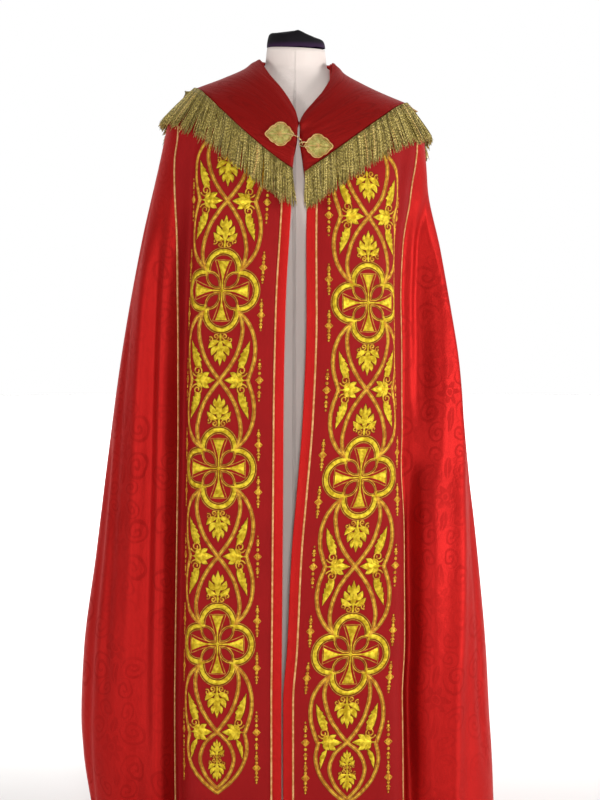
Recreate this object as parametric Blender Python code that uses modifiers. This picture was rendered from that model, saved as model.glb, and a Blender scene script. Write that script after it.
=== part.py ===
"""A clergyman's cope with a fringed shoulder hood, standing on a full-length padded display form.

Metres, +Z up. The origin is on the floor under the form, +X is to the viewer's right, and the cope
opens towards -Y. Each layer is made from the one below it: the display form carries the mantle,
the mantle carries the orphreys and their braids, and the hood lies over all of them.
"""

import math
from collections import namedtuple

import bmesh
import bpy
import numpy as np
from mathutils import Vector
from mathutils.bvhtree import BVHTree

# ---------------------------------------------------------------- driving sizes, in metres
NECK_LEVEL = 1.548          # where the mantle starts, at the sides of the neck
HEM_LEVEL = 0.030           # the mantle ends this far above the floor
SEAM_GAP = 0.0011           # between the edges of two panels
LAYER_GAP = 0.0007          # between one layer and the next
MANTLE_WALL = 0.0022        # damask and its lining
ORPHREY_WALL = 0.0012
BRAID_WALL = 0.0009
HOOD_WALL = 0.0022

EDGE_STRIP = 0.018          # damask that shows between the opening and the orphrey
BRAID_WIDTH = 0.004
ORPHREY_WIDTH = 0.231       # with a braid along each edge
ORPHREY_TOP = 1.440         # the orphreys end under the hood
SEAM_ANGLE = 97.0           # side seam, in degrees round from the front
SEAM_NECK_ANGLE = 130.0     # the seams run to the back of the neck over the shoulders
SEAM_TURN_LEVEL = 1.42

SHOULDER_LEAN = 0.045       # the wearer's left shoulder, at +X, hangs lower: drop over distance
LEAN_FULL_LEVEL = 1.35
LEAN_NO_LEVEL = 0.90

# Exponents of the two half ovals. The fronts are rounder where they are lower.
Squareness = namedtuple("Squareness", "level left right")
FRONT_SQUARENESS = (
    Squareness(1.548, 2.70, 2.70),
    Squareness(1.400, 2.70, 2.70),
    Squareness(1.300, 2.70, 1.80),
    Squareness(1.180, 2.70, 1.45),
    Squareness(0.765, 2.60, 1.45),
    Squareness(0.560, 2.60, 2.20),
    Squareness(0.030, 2.70, 2.70),
)
BACK_SQUARENESS = 2.15

# The mantle's outline at each level: how far it reaches to each side, to the front and to the back.
Section = namedtuple("Section", "level left right front back")
MANTLE_SECTIONS = (
    Section(1.548, 0.074, 0.074, 0.058, 0.068),
    Section(1.526, 0.095, 0.088, 0.072, 0.086),
    Section(1.501, 0.142, 0.132, 0.088, 0.104),
    Section(1.478, 0.194, 0.186, 0.101, 0.118),
    Section(1.464, 0.223, 0.220, 0.109, 0.127),
    Section(1.445, 0.243, 0.243, 0.119, 0.136),
    Section(1.415, 0.257, 0.256, 0.131, 0.147),
    Section(1.370, 0.267, 0.261, 0.142, 0.160),
    Section(1.300, 0.283, 0.268, 0.153, 0.177),
    Section(1.180, 0.311, 0.288, 0.163, 0.200),
    Section(0.970, 0.351, 0.320, 0.174, 0.235),
    Section(0.765, 0.380, 0.346, 0.183, 0.264),
    Section(0.560, 0.406, 0.369, 0.191, 0.291),
    Section(0.360, 0.432, 0.387, 0.199, 0.314),
    Section(0.230, 0.4375, 0.394, 0.205, 0.327),
    Section(0.155, 0.433, 0.399, 0.208, 0.334),
    Section(0.030, 0.414, 0.404, 0.213, 0.345),
)

# The two front edges of the mantle: the V of the neck, then the opening, which closes near the hem.
Opening = namedtuple("Opening", "level left right tuck")
OPENING = (
    Opening(1.548, -0.0690, 0.0690, 0.000),
    Opening(1.520, -0.0540, 0.0680, 0.000),
    Opening(1.488, -0.0270, 0.0530, 0.000),
    Opening(1.464, -0.0110, 0.0340, 0.000),
    Opening(1.440, 0.0010, 0.0150, 0.002),
    Opening(1.425, 0.0035, 0.0085, 0.004),
    Opening(1.395, 0.0030, 0.0070, 0.008),
    Opening(1.340, -0.0060, 0.0140, 0.013),
    Opening(1.266, -0.0090, 0.0230, 0.016),
    Opening(1.060, -0.0203, 0.0230, 0.013),
    Opening(0.851, -0.0242, 0.0144, 0.006),
    Opening(0.697, -0.0250, 0.0012, 0.002),
    Opening(0.580, -0.0260, -0.0088, 0.000),
    Opening(0.389, -0.0275, -0.0179, 0.000),
    Opening(0.288, -0.0285, -0.0255, 0.000),
    Opening(0.030, -0.0285, -0.0255, 0.000),
)
TUCK_WIDTH = 0.040          # the edges roll inwards over this width, by each row's tuck

LEFT, RIGHT = -1, 1

# Hollow folds at the front of the mantle, each with its rows from the top down. A place is the arc
# from the front edge to the middle of the fold, round the unfolded outline.
FoldPlace = namedtuple("FoldPlace", "level place width depth")
FRONT_FOLDS = (
    (
        LEFT,
        (
            FoldPlace(1.46, 0.200, 0.018, 0.000),
            FoldPlace(1.40, 0.205, 0.018, 0.008),
            FoldPlace(1.30, 0.207, 0.018, 0.016),
            FoldPlace(1.18, 0.208, 0.019, 0.028),
            FoldPlace(0.97, 0.210, 0.020, 0.040),
            FoldPlace(0.78, 0.212, 0.021, 0.045),
            FoldPlace(0.03, 0.214, 0.022, 0.047),
        ),
    ),
    (
        LEFT,
        (
            FoldPlace(1.30, 0.262, 0.014, 0.000),
            FoldPlace(1.18, 0.265, 0.014, 0.003),
            FoldPlace(0.78, 0.275, 0.017, 0.008),
            FoldPlace(0.03, 0.300, 0.020, 0.016),
        ),
    ),
    (
        RIGHT,
        (
            FoldPlace(1.42, 0.215, 0.016, 0.000),
            FoldPlace(1.36, 0.210, 0.014, 0.006),
            FoldPlace(1.28, 0.205, 0.012, 0.010),
            FoldPlace(1.18, 0.203, 0.011, 0.012),
            FoldPlace(0.97, 0.203, 0.011, 0.011),
            FoldPlace(0.80, 0.205, 0.012, 0.004),
            FoldPlace(0.62, 0.205, 0.015, 0.000),
        ),
    ),
    (
        RIGHT,
        (
            FoldPlace(1.38, 0.245, 0.034, 0.000),
            FoldPlace(1.28, 0.250, 0.042, 0.022),
            FoldPlace(1.18, 0.252, 0.048, 0.044),
            FoldPlace(1.05, 0.252, 0.050, 0.056),
            FoldPlace(0.90, 0.250, 0.042, 0.054),
            FoldPlace(0.78, 0.246, 0.028, 0.048),
            FoldPlace(0.62, 0.249, 0.022, 0.048),
            FoldPlace(0.30, 0.258, 0.022, 0.042),
            FoldPlace(0.03, 0.264, 0.026, 0.044),
        ),
    ),
)

# Hollow folds at the back, which start at a level with the top depth and deepen to the hem. Top and
# hem are places there, as shares of the way from the side seam to the centre back.
Fold = namedtuple("Fold", "side start top hem top_width hem_width top_depth hem_depth")
BACK_FOLDS = (
    Fold(LEFT, 1.25, 0.20, 0.16, 0.024, 0.032, 0.004, 0.056),
    Fold(LEFT, 1.12, 0.38, 0.37, 0.026, 0.034, 0.003, 0.076),
    Fold(LEFT, 1.20, 0.58, 0.58, 0.030, 0.040, 0.007, 0.086),
    Fold(LEFT, 1.02, 0.80, 0.81, 0.028, 0.036, 0.004, 0.062),
    Fold(RIGHT, 1.20, 0.19, 0.17, 0.024, 0.032, 0.004, 0.060),
    Fold(RIGHT, 1.16, 0.37, 0.35, 0.026, 0.034, 0.006, 0.082),
    Fold(RIGHT, 1.06, 0.60, 0.57, 0.030, 0.042, 0.003, 0.066),
    Fold(RIGHT, 1.22, 0.79, 0.78, 0.030, 0.038, 0.007, 0.080),
)
FOLD_TOP_LEVEL = 1.38       # top and top_width are those of this level
FOLD_FADE = 0.12            # a fold opens over this height below its start

# The display form: a padded torso that runs down into a full-length skirt block.
FormSection = namedtuple("FormSection", "height side front back")
FORM_SECTIONS = (
    FormSection(0.000, 0.178, 0.120, 0.130),
    FormSection(0.012, 0.184, 0.126, 0.136),
    FormSection(0.300, 0.180, 0.124, 0.136),
    FormSection(0.700, 0.176, 0.120, 0.140),
    FormSection(0.880, 0.174, 0.114, 0.140),
    FormSection(1.080, 0.154, 0.104, 0.108),
    FormSection(1.200, 0.166, 0.116, 0.114),
    FormSection(1.300, 0.184, 0.126, 0.128),
    FormSection(1.370, 0.204, 0.122, 0.130),
)
FORM_CLEARANCE = 0.0020     # under the mantle along the top of the shoulders
FORM_SHOULDER_INSET = 0.013  # the form is this much shallower than the mantle, front and back
FORM_SHOULDER_LEVEL = 1.39  # the form follows the mantle's shoulders from here up
NECK_SECTIONS = (
    FormSection(1.541, 0.0620, 0.0520, 0.0580),
    FormSection(1.560, 0.0600, 0.0540, 0.0570),
    FormSection(1.5765, 0.0580, 0.0540, 0.0560),
)
CAP_SECTIONS = (
    FormSection(1.5770, 0.0585, 0.0545, 0.0565),
    FormSection(1.5960, 0.0567, 0.0532, 0.0548),
    FormSection(1.6075, 0.0530, 0.0500, 0.0515),
    FormSection(1.6125, 0.0460, 0.0430, 0.0445),
)
FORM_SQUARENESS = 2.15

# The hood, a cape with a V neck in front and a round fall behind.
# Tip is the level of a lower front corner, and shoulder the one where the front and back edges would
# meet. The front edge is straight where its bow is 1.
HoodSide = namedtuple("HoodSide", "tip shoulder bow")
HOOD_SIDES = {LEFT: HoodSide(1.333, 1.480, 1.15), RIGHT: HoodSide(1.327, 1.470, 1.0)}
HOOD_SHOULDER_ROUNDING = 0.009
HOOD_BACK_START = 0.15      # the back edge bends down over this share of its length
HOOD_BACK_LEVEL = 1.160     # the lowest point of its fall behind
HOOD_BACK_POWER = 1.50      # the back edge is steep at the shoulder and level at the centre back
HOOD_LIFT_SEAM = 0.0026     # from the mantle's face to the hood's inner face, at the neck seam
HOOD_LIFT_NECK = 0.0070     # beside the neck
HOOD_LIFT_EDGE = 0.0098
HOOD_SEAM_SHARE = 0.18      # the hood leaves the mantle over this share of its depth
HOOD_V_LEVEL = 1.425        # bottom of the V neck, where the hood's fronts meet
HOOD_COLUMNS_FRONT = 10
HOOD_COLUMNS_BACK = 11
HOOD_COLUMN_POWER = 1.25    # columns lie closer together over the shoulder
HOOD_ROWS = 10
HOOD_ROW_POWER = 1.35       # rows lie closer together near the neck

# The fringe: a header braid just below the hood's lower edge, with hanging locks.
HEADER_GAP = 0.0014         # between the header and the hood's edge
HEADER_HEIGHT = 0.0085
HEADER_WALL = 0.0026
LOCK_COUNT = 112
LOCK_SHARE = 0.70           # of the pitch, and the rest is the gap between two locks
LOCK_LENGTH = 0.066
LOCK_BEND = 0.45            # each lock bends over the shoulder at this share of its length
LOCK_STANDOFF = 0.0145      # from the mantle's face to the tips of the locks
LOCK_TIP_SHARE = 0.60       # of the root's width

# The clasp: two leaves sewn on the hood's fronts, joined by a hook in an eye. Places are x and z in
# front view. A leaf is a pointed oval with a scalloped edge, and its turn says where its tip points.
Leaf = namedtuple("Leaf", "name x z turn")
CLASP_LEAVES = (
    Leaf("clasp_leaf_left", -0.0290, 1.4015, 180.0),
    Leaf("clasp_leaf_right", 0.0412, 1.3780, -2.0),
)
LEAF_TIP = 0.0310           # from the leaf's centre to its tip
LEAF_STEM = 0.0240
LEAF_HALF_HEIGHT = 0.0240
LEAF_SQUARENESS = 1.35
LEAF_SCALLOPS = 10
LEAF_SCALLOP_DEPTH = 0.0016
LEAF_POINTS = 40
LEAF_RINGS = 2
LEAF_GAP = 0.0009           # between a leaf and the hood
LEAF_WALL = 0.0018
WIRE_RADIUS = 0.0011
WirePoint = namedtuple("WirePoint", "x z lift")     # lift is from the hood's face
HOOK = (
    WirePoint(-0.0180, 1.4010, 0.0045),
    WirePoint(-0.0080, 1.3997, 0.0054),
    WirePoint(0.0000, 1.3972, 0.0080),
    WirePoint(0.0060, 1.3932, 0.0096),
    WirePoint(0.0103, 1.3880, 0.0098),
    WirePoint(0.0120, 1.3838, 0.0097),
    WirePoint(0.0124, 1.3812, 0.0080),
    WirePoint(0.0122, 1.3808, 0.0052),
    WirePoint(0.0118, 1.3822, 0.0033),
)
EYE = (
    WirePoint(0.0270, 1.3850, 0.0046),
    WirePoint(0.0200, 1.3848, 0.0056),
    WirePoint(0.0112, 1.3844, 0.0066),
    WirePoint(0.0082, 1.3829, 0.0066),
    WirePoint(0.0073, 1.3808, 0.0066),
    WirePoint(0.0082, 1.3787, 0.0066),
    WirePoint(0.0112, 1.3772, 0.0066),
    WirePoint(0.0200, 1.3768, 0.0056),
    WirePoint(0.0270, 1.3766, 0.0046),
)

RED_DAMASK = (0.62, 0.012, 0.010)
RED_SATIN = (0.36, 0.008, 0.012)
GOLD_BRAID = (0.80, 0.40, 0.16)
GOLD_THREAD = (0.50, 0.37, 0.10)
FORM_JERSEY = (0.72, 0.69, 0.68)
CAP_BLACK = (0.012, 0.011, 0.014)
BRASS = (0.75, 0.60, 0.28)

LEVELS = (
    1.548, 1.533, 1.516, 1.498, 1.480, 1.464, 1.440, 1.400, 1.335, 1.240, 1.110, 0.950,
    0.770, 0.580, 0.390, 0.200, 0.030,
)
STRIP_COLUMNS = 2
ORPHREY_COLUMNS = 13
ORPHREY_COLUMN_POWER = 0.75  # columns lie closer together near the outer braid, in a fold
FRONT_SIDE_COLUMNS = 13
COLUMNS_PER_FOLD = 6
SEAM_COLUMN = 0.004         # a narrow last column, so that both panels meet squarely
SHOULDER_ARC = 0.310        # length of a front panel's row where its orphrey starts


# ---------------------------------------------------------------- curves and outlines
def smooth_through(rows, column, level):
    """A smooth curve through one column of a table whose rows run down in level, with no overshoot."""
    known = np.array([[row[0], getattr(row, column)] for row in rows], float)
    if known[0, 0] > known[-1, 0]:
        known = known[::-1]
    x, y = known[:, 0], known[:, 1]
    steps = np.diff(x)
    slopes = np.diff(y) / steps
    tangents = np.zeros(len(x))
    same_way = slopes[:-1] * slopes[1:] > 0
    mean = 2 * slopes[:-1] * slopes[1:] / np.where(same_way, slopes[:-1] + slopes[1:], 1)
    tangents[1:-1] = np.where(same_way, mean, 0)
    tangents[0], tangents[-1] = slopes[0], slopes[-1]
    level = np.clip(np.asarray(level, float), x[0], x[-1])
    i = np.clip(np.searchsorted(x, level) - 1, 0, len(x) - 2)
    t = (level - x[i]) / steps[i]
    return (
        y[i] * (1 + 2 * t) * (1 - t) ** 2
        + y[i + 1] * (3 - 2 * t) * t**2
        + steps[i] * tangents[i] * t * (1 - t) ** 2
        + steps[i] * tangents[i + 1] * t**2 * (t - 1)
    )


def smooth_step(t):
    t = np.clip(t, 0.0, 1.0)
    return t * t * (3 - 2 * t)


def oval(angle, side_reach, front_reach, back_reach, front_power, back_power):
    """(x, y) of a half oval, with the angle from the front centre round to the back centre."""
    sine, cosine = np.abs(np.sin(angle)), np.abs(np.cos(angle))
    ahead = np.cos(angle) > 0
    depth = np.where(ahead, front_reach, back_reach)
    power = np.where(ahead, front_power, back_power)
    radius = ((sine / side_reach) ** power + (cosine / depth) ** power) ** (-1 / power)
    return radius * np.sin(angle), -radius * np.cos(angle)


def mantle_outline(side, level, angle):
    """The unfolded mantle at a level: x as seen from that side (positive outwards), and y."""
    column = "left" if side == LEFT else "right"
    reach = smooth_through(MANTLE_SECTIONS, column, level)
    front = smooth_through(MANTLE_SECTIONS, "front", level)
    back = smooth_through(MANTLE_SECTIONS, "back", level)
    return oval(angle, reach, front, back, smooth_through(FRONT_SQUARENESS, column, level), BACK_SQUARENESS)


def leaned(x, level):
    """Height of a point at a level: the shoulders slope down towards +X."""
    share = smooth_step((level - LEAN_NO_LEVEL) / (LEAN_FULL_LEVEL - LEAN_NO_LEVEL))
    return level - SHOULDER_LEAN * share * x


def edge_reach(side, level):
    """The front edge's x at a level, positive outwards for that side."""
    return side * smooth_through(OPENING, "left" if side == LEFT else "right", level)


def half_outline(side, level, count=900):
    """Dense points of one side's unfolded outline, its arcs from the front edge, and their angles."""
    angle = np.linspace(-0.5, math.pi, count)
    x, y = mantle_outline(side, level, angle)
    peak = np.argmax(x)
    start = np.interp(edge_reach(side, level), x[: peak + 1], angle[: peak + 1])
    angle = np.linspace(start, math.pi, count)
    x, y = mantle_outline(side, level, angle)
    arc = np.concatenate([[0.0], np.cumsum(np.hypot(np.diff(x), np.diff(y)))])
    return x, y, arc, angle


def seam_angle(level):
    turned = smooth_step((level - SEAM_TURN_LEVEL) / (NECK_LEVEL - SEAM_TURN_LEVEL))
    return math.radians(SEAM_ANGLE + (SEAM_NECK_ANGLE - SEAM_ANGLE) * turned)


def front_fold_places(side, level):
    """Each front fold of a side at a level: its arc, its width and its depth."""
    places = []
    for fold_side, rows in FRONT_FOLDS:
        if fold_side == side:
            places.append([smooth_through(rows, column, level) for column in ("place", "width", "depth")])
    return places


def fold_places(folds, side, level, start=0.0, scale=1.0):
    """Each fold of a side at a level: its arc, its width and its depth."""
    t = (FOLD_TOP_LEVEL - level) / (FOLD_TOP_LEVEL - HEM_LEVEL)
    places = []
    for fold in folds:
        if fold.side == side:
            opened = smooth_step((fold.start - level) / FOLD_FADE)
            place = start + scale * (fold.top + (fold.hem - fold.top) * t)
            width = fold.top_width + (fold.hem_width - fold.top_width) * t
            depth = max(0.0, fold.top_depth + (fold.hem_depth - fold.top_depth) * t)
            places.append((place, width, depth * opened))
    return places


def mantle_curve(side, level):
    """Dense points of one side of the folded mantle at a level, with the arcs along the cloth and
    along the unfolded outline, and the side seam's place on the latter."""
    x, y, arc, angle = half_outline(side, level)
    seam = np.interp(seam_angle(level), angle, arc)
    other_arc, other_angle = half_outline(-side, level)[2:]
    other_seam = np.interp(seam_angle(level), other_angle, other_arc)
    folds = front_fold_places(side, level)
    folds += fold_places(BACK_FOLDS, side, level, seam, arc[-1] - seam)
    around = arc[-1] + other_arc[-1] - other_seam
    folds += fold_places(BACK_FOLDS, -side, level, around, other_seam - other_arc[-1])
    depth = smooth_through(OPENING, "tuck", level) * np.exp(-((arc / TUCK_WIDTH) ** 2))
    for place, width, deep in folds:
        depth = depth + deep * np.exp(-(((arc - place) / width) ** 2))
    along = np.stack([np.gradient(x, arc), np.gradient(y, arc)])
    x, y = x - depth * along[1], y + depth * along[0]
    cloth_arc = np.concatenate([[0.0], np.cumsum(np.hypot(np.diff(x), np.diff(y)))])
    return x, y, cloth_arc, arc, seam


def mantle_row(side, level, arcs_of):
    """Points of the mantle at a level, at the cloth arcs that arcs_of gives for this row."""
    x, y, cloth_arc, arc, seam = mantle_curve(side, level)
    wanted = arcs_of(side, level, cloth_arc, arc, seam)
    px = side * np.interp(wanted, cloth_arc, x)
    py = np.interp(wanted, cloth_arc, y)
    return np.stack([px, py, leaned(px, level)], axis=1)


def outward_normals(grid):
    """Unit normals of a grid of points, away from the wearer."""
    down = np.gradient(grid, axis=0)
    across = np.gradient(grid, axis=1)
    normal = np.cross(across, down)
    normal /= np.linalg.norm(normal, axis=2, keepdims=True)
    middle = grid.shape[0] // 2
    column = grid.shape[1] // 2
    outwards = np.array([grid[middle, column, 0], grid[middle, column, 1], 0.0])
    return normal if normal[middle, column] @ outwards > 0 else -normal


# ---------------------------------------------------------------- Blender helpers
def clear_scene():
    for obj in list(bpy.data.objects):
        bpy.data.objects.remove(obj, do_unlink=True)


def material(name, colour, roughness, metallic=0.0):
    made = bpy.data.materials.new(name)
    made.use_nodes = True
    shader = made.node_tree.nodes["Principled BSDF"]
    shader.inputs["Base Color"].default_value = (*colour, 1.0)
    shader.inputs["Roughness"].default_value = roughness
    shader.inputs["Metallic"].default_value = metallic
    return made


def add_object(name, mesh, finish, collection):
    made = bpy.data.objects.new(name, mesh)
    collection.objects.link(made)
    mesh.materials.append(finish)
    mesh.shade_smooth()
    return made


def loft(name, grid, finish, collection, closed=False):
    """An open surface through a grid of points, or a capped body if its rows close on themselves."""
    rows, columns = grid.shape[:2]
    around = columns if closed else columns - 1
    faces = [
        (r * columns + c, r * columns + (c + 1) % columns,
         (r + 1) * columns + (c + 1) % columns, (r + 1) * columns + c)
        for r in range(rows - 1)
        for c in range(around)
    ]
    if closed:
        faces.append(tuple(reversed(range(columns))))
        faces.append(tuple((rows - 1) * columns + c for c in range(columns)))
    mesh = bpy.data.meshes.new(name)
    mesh.from_pydata(grid.reshape(-1, 3).tolist(), [], faces)
    return add_object(name, mesh, finish, collection)


def face_outwards(obj, outward):
    """Turns the faces of an open surface so that they look along the given outward normals."""
    bm = bmesh.new()
    bm.from_mesh(obj.data)
    bm.normal_update()
    bm.verts.ensure_lookup_table()
    facing = sum(v.normal.dot(Vector(outward[v.index])) for v in bm.verts)
    if facing < 0:
        bmesh.ops.reverse_faces(bm, faces=bm.faces)
    bm.to_mesh(obj.data)
    bm.free()


def cloth(name, grid, normals, lift, wall, finish, collection, inwards=False):
    """A wall of cloth: a grid moved out by lift, thickened outwards or, for a layer that has
    another on top, inwards, so that the face that matters is exactly parallel to its neighbour."""
    obj = loft(name, grid + normals * lift, finish, collection)
    face_outwards(obj, normals.reshape(-1, 3))
    thickness = obj.modifiers.new("Wall", "SOLIDIFY")
    thickness.thickness = wall
    thickness.offset = -1.0 if inwards else 1.0
    return obj


# ---------------------------------------------------------------- the display form
def shoulder_point(level, distance):
    """(height, reach) of the mantle's shoulder line at a level, moved inwards by a distance."""
    step = 0.001
    levels = np.array([level + step, level, level - step])
    reach = np.minimum(
        smooth_through(MANTLE_SECTIONS, "left", levels), smooth_through(MANTLE_SECTIONS, "right", levels)
    )
    slope = (reach[2] - reach[0]) / (2 * step)
    length = math.hypot(slope, 1.0)
    return level - distance * slope / length, float(reach[1]) - distance / length


def form_ring(section, columns):
    angle = np.linspace(0, 2 * math.pi, columns, endpoint=False)
    half = np.where(angle > math.pi, 2 * math.pi - angle, angle)
    x, y = oval(half, section.side, section.front, section.back, FORM_SQUARENESS, FORM_SQUARENESS)
    x = np.where(angle > math.pi, -x, x)
    return np.stack([x, y, leaned(x, section.height)], axis=1)


def shoulder_sections():
    """The form's rings under the mantle's shoulders, which rest on it, from the lowest up."""
    made = []
    for level in sorted(level for level in LEVELS if FORM_SHOULDER_LEVEL <= level < NECK_LEVEL):
        height, reach = shoulder_point(level, MANTLE_WALL + FORM_CLEARANCE)
        front = smooth_through(MANTLE_SECTIONS, "front", level) - FORM_SHOULDER_INSET
        back = smooth_through(MANTLE_SECTIONS, "back", level) - FORM_SHOULDER_INSET
        made.append(FormSection(height, reach, float(front), float(back)))
    return made


def build_form(jersey, black, collection):
    columns = 28
    sections = [*FORM_SECTIONS, *shoulder_sections(), *NECK_SECTIONS]
    rings = np.array([form_ring(section, columns) for section in sections])
    rings[0, :, 2] = 0.0
    loft("display_form", rings, jersey, collection, closed=True)
    cap = np.array([form_ring(section, columns) for section in CAP_SECTIONS])
    loft("neck_cap", cap, black, collection, closed=True)


# ---------------------------------------------------------------- the mantle and its orphreys
def front_arcs(_side, level, cloth_arc, arc, seam):
    """Arcs of a front panel's columns: edge strip, orphrey, then the side as far as the seam.

    Over the shoulder, above the orphrey, the panel narrows and its columns draw together.
    """
    orphrey_end = EDGE_STRIP + ORPHREY_WIDTH
    strip = np.linspace(0.0, EDGE_STRIP, STRIP_COLUMNS, endpoint=False)
    inner = [EDGE_STRIP, EDGE_STRIP + BRAID_WIDTH]
    shares = np.linspace(0.0, 1.0, ORPHREY_COLUMNS - 1)[1:] ** ORPHREY_COLUMN_POWER
    field = inner[1] + (ORPHREY_WIDTH - 2 * BRAID_WIDTH) * shares
    fixed = np.concatenate([strip, inner, field, [orphrey_end]])
    last = np.interp(seam, arc, cloth_arc) - SEAM_GAP / 2
    if level > ORPHREY_TOP:
        fixed *= (last - SEAM_COLUMN) / SHOULDER_ARC
    rest = np.linspace(fixed[-1], last - SEAM_COLUMN, FRONT_SIDE_COLUMNS)[1:]
    return np.concatenate([fixed, rest, [last]])


def back_arcs(side, level, cloth_arc, arc, seam):
    """Arcs of one half of the back panel, from the side seam to the centre back.

    The columns run down the crests, flanks and hollows of the folds.
    """
    centres = [place[0] for place in fold_places(BACK_FOLDS, side, level, seam, arc[-1] - seam)]
    stops = [seam, *centres, arc[-1]]
    unfolded = []
    for start, end in zip(stops[:-1], stops[1:]):
        unfolded.extend(np.linspace(start, end, COLUMNS_PER_FOLD, endpoint=False))
    wanted = np.interp([*unfolded, arc[-1]], arc, cloth_arc)
    first, last = wanted[0] + SEAM_GAP / 2, wanted[-1] - SEAM_GAP / 2
    return np.concatenate([[first, first + SEAM_COLUMN], wanted[1:-1], [last - SEAM_COLUMN, last]])


def front_grid(side, levels=LEVELS):
    return np.array([mantle_row(side, level, front_arcs) for level in levels])


def back_grid(side):
    return np.array([mantle_row(side, level, back_arcs) for level in LEVELS])


def build_mantle(damask, collection):
    for name, grid in (
        ("mantle_left_front", front_grid(LEFT)),
        ("mantle_right_front", front_grid(RIGHT)),
        ("mantle_left_back", back_grid(LEFT)),
        ("mantle_right_back", back_grid(RIGHT)),
    ):
        normals = outward_normals(grid)
        cloth(name, grid, normals, 0.0, MANTLE_WALL, damask, collection, inwards=True)


def build_orphreys(satin, gold, collection):
    first = STRIP_COLUMNS
    last = first + ORPHREY_COLUMNS
    top = next(i for i, level in enumerate(LEVELS) if level <= ORPHREY_TOP)
    for side, word in ((LEFT, "left"), (RIGHT, "right")):
        grid = front_grid(side)
        part = grid[top:, first : last + 1]
        facing = outward_normals(grid)[top:, first : last + 1]
        lift = LAYER_GAP + ORPHREY_WALL
        name = f"orphrey_{word}"
        cloth(name, part, facing, lift, ORPHREY_WALL, satin, collection, inwards=True)
        lift += LAYER_GAP
        for edge, cut in (("inner", slice(0, 2)), ("outer", slice(-2, None))):
            name = f"braid_{word}_{edge}"
            cloth(name, part[:, cut], facing[:, cut], lift, BRAID_WALL, gold, collection)


# ---------------------------------------------------------------- the hood
def surface_point(side, angle, level):
    x, y = mantle_outline(side, level, np.array([angle]))
    x = side * x[0]
    return np.array([x, y[0], leaned(x, level)])


def lifted_point(side, angle, level, lift):
    """A point over the unfolded mantle, moved out by lift."""
    here = surface_point(side, angle, level)
    across = surface_point(side, angle + 0.01, level) - surface_point(side, angle - 0.01, level)
    down = surface_point(side, angle, level - 0.002) - surface_point(side, angle, level + 0.002)
    normal = np.cross(down, across) * side
    return here + normal / np.linalg.norm(normal) * lift


def edge_angle(side, level):
    """The angle at which the front edge of a side lies, at a level."""
    return half_outline(side, level)[3][0]


def hood_edge_level(side, angle, behind, back_length):
    """Level of the hood's lower edge at an angle, found by halving.

    In front the edge is straight in front view, and behind it falls to the centre back. Behind is
    the distance past the shoulder, less than zero in front.
    """
    hood = HOOD_SIDES[side]
    tip = edge_reach(side, hood.tip)
    shoulder = mantle_outline(side, hood.shoulder, np.array([math.pi / 2]))[0][0]
    share = max(behind, 0.0) / back_length
    whole = math.hypot(1.0, HOOD_BACK_START) - HOOD_BACK_START
    share = (math.hypot(share, HOOD_BACK_START) - HOOD_BACK_START) / whole
    back = HOOD_BACK_LEVEL + (hood.shoulder - HOOD_BACK_LEVEL) * (1 - share) ** HOOD_BACK_POWER
    low, high = HOOD_BACK_LEVEL - 0.02, NECK_LEVEL
    for _ in range(40):
        middle = (low + high) / 2
        x = mantle_outline(side, middle, np.array([angle]))[0][0]
        ahead = x - tip + max(behind, 0.0)
        front = hood.tip + (hood.shoulder - hood.tip) * max(ahead / (shoulder - tip), 0.0) ** hood.bow
        gap = abs(front - back) / HOOD_SHOULDER_ROUNDING
        edge = min(front, back) - HOOD_SHOULDER_ROUNDING * math.log1p(math.exp(-gap))
        low, high = (middle, high) if middle < edge else (low, middle)
    return (low + high) / 2


def hood_columns(side):
    """Each column's (neck angle, neck level, edge angle, edge level), from the front edge to the back."""
    angle = np.linspace(-0.5, math.pi, 900)
    x, y = mantle_outline(side, HOOD_SIDES[side].shoulder, angle)
    arc = np.concatenate([[0.0], np.cumsum(np.hypot(np.diff(x), np.diff(y)))])
    tip_arc = np.interp(edge_angle(side, HOOD_SIDES[side].tip), angle, arc)
    shoulder_arc = np.interp(math.pi / 2, angle, arc)
    front_length, back_length = shoulder_arc - tip_arc, arc[-1] - shoulder_arc
    columns = []
    for share in 1 - np.linspace(1.0, 0.0, HOOD_COLUMNS_FRONT + 1) ** HOOD_COLUMN_POWER:
        behind = front_length * (share - 1)
        low_angle = np.interp(shoulder_arc + behind, arc, angle)
        neck_level = HOOD_V_LEVEL + (NECK_LEVEL - HOOD_V_LEVEL) * share**0.8
        low_level = hood_edge_level(side, low_angle, behind, back_length)
        columns.append((edge_angle(side, neck_level), neck_level, low_angle, low_level))
    neck_angle = columns[-1][0]
    for share in np.linspace(0.0, 1.0, HOOD_COLUMNS_BACK + 1)[1:] ** HOOD_COLUMN_POWER:
        behind = back_length * share
        low_angle = np.interp(shoulder_arc + behind, arc, angle)
        low_level = hood_edge_level(side, low_angle, behind, back_length)
        around = neck_angle + (math.pi - neck_angle) * share
        columns.append((around, NECK_LEVEL, low_angle, low_level))
    return columns


def hood_side_grid(side):
    """Rows from the neck to the lower edge, columns from the front edge to the centre back."""
    columns = hood_columns(side)
    grid = np.zeros((HOOD_ROWS + 1, len(columns), 3))
    for c, (neck_angle, neck_level, low_angle, low_level) in enumerate(columns):
        for r in range(HOOD_ROWS + 1):
            share = (r / HOOD_ROWS) ** HOOD_ROW_POWER
            angle = neck_angle + (low_angle - neck_angle) * share
            level = neck_level + (low_level - neck_level) * share
            lift = HOOD_LIFT_NECK + (HOOD_LIFT_EDGE - HOOD_LIFT_NECK) * share
            lift += (HOOD_LIFT_SEAM - HOOD_LIFT_NECK) * (1 - smooth_step(share / HOOD_SEAM_SHARE))
            grid[r, c] = lifted_point(side, angle, level, lift)
    return grid


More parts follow.
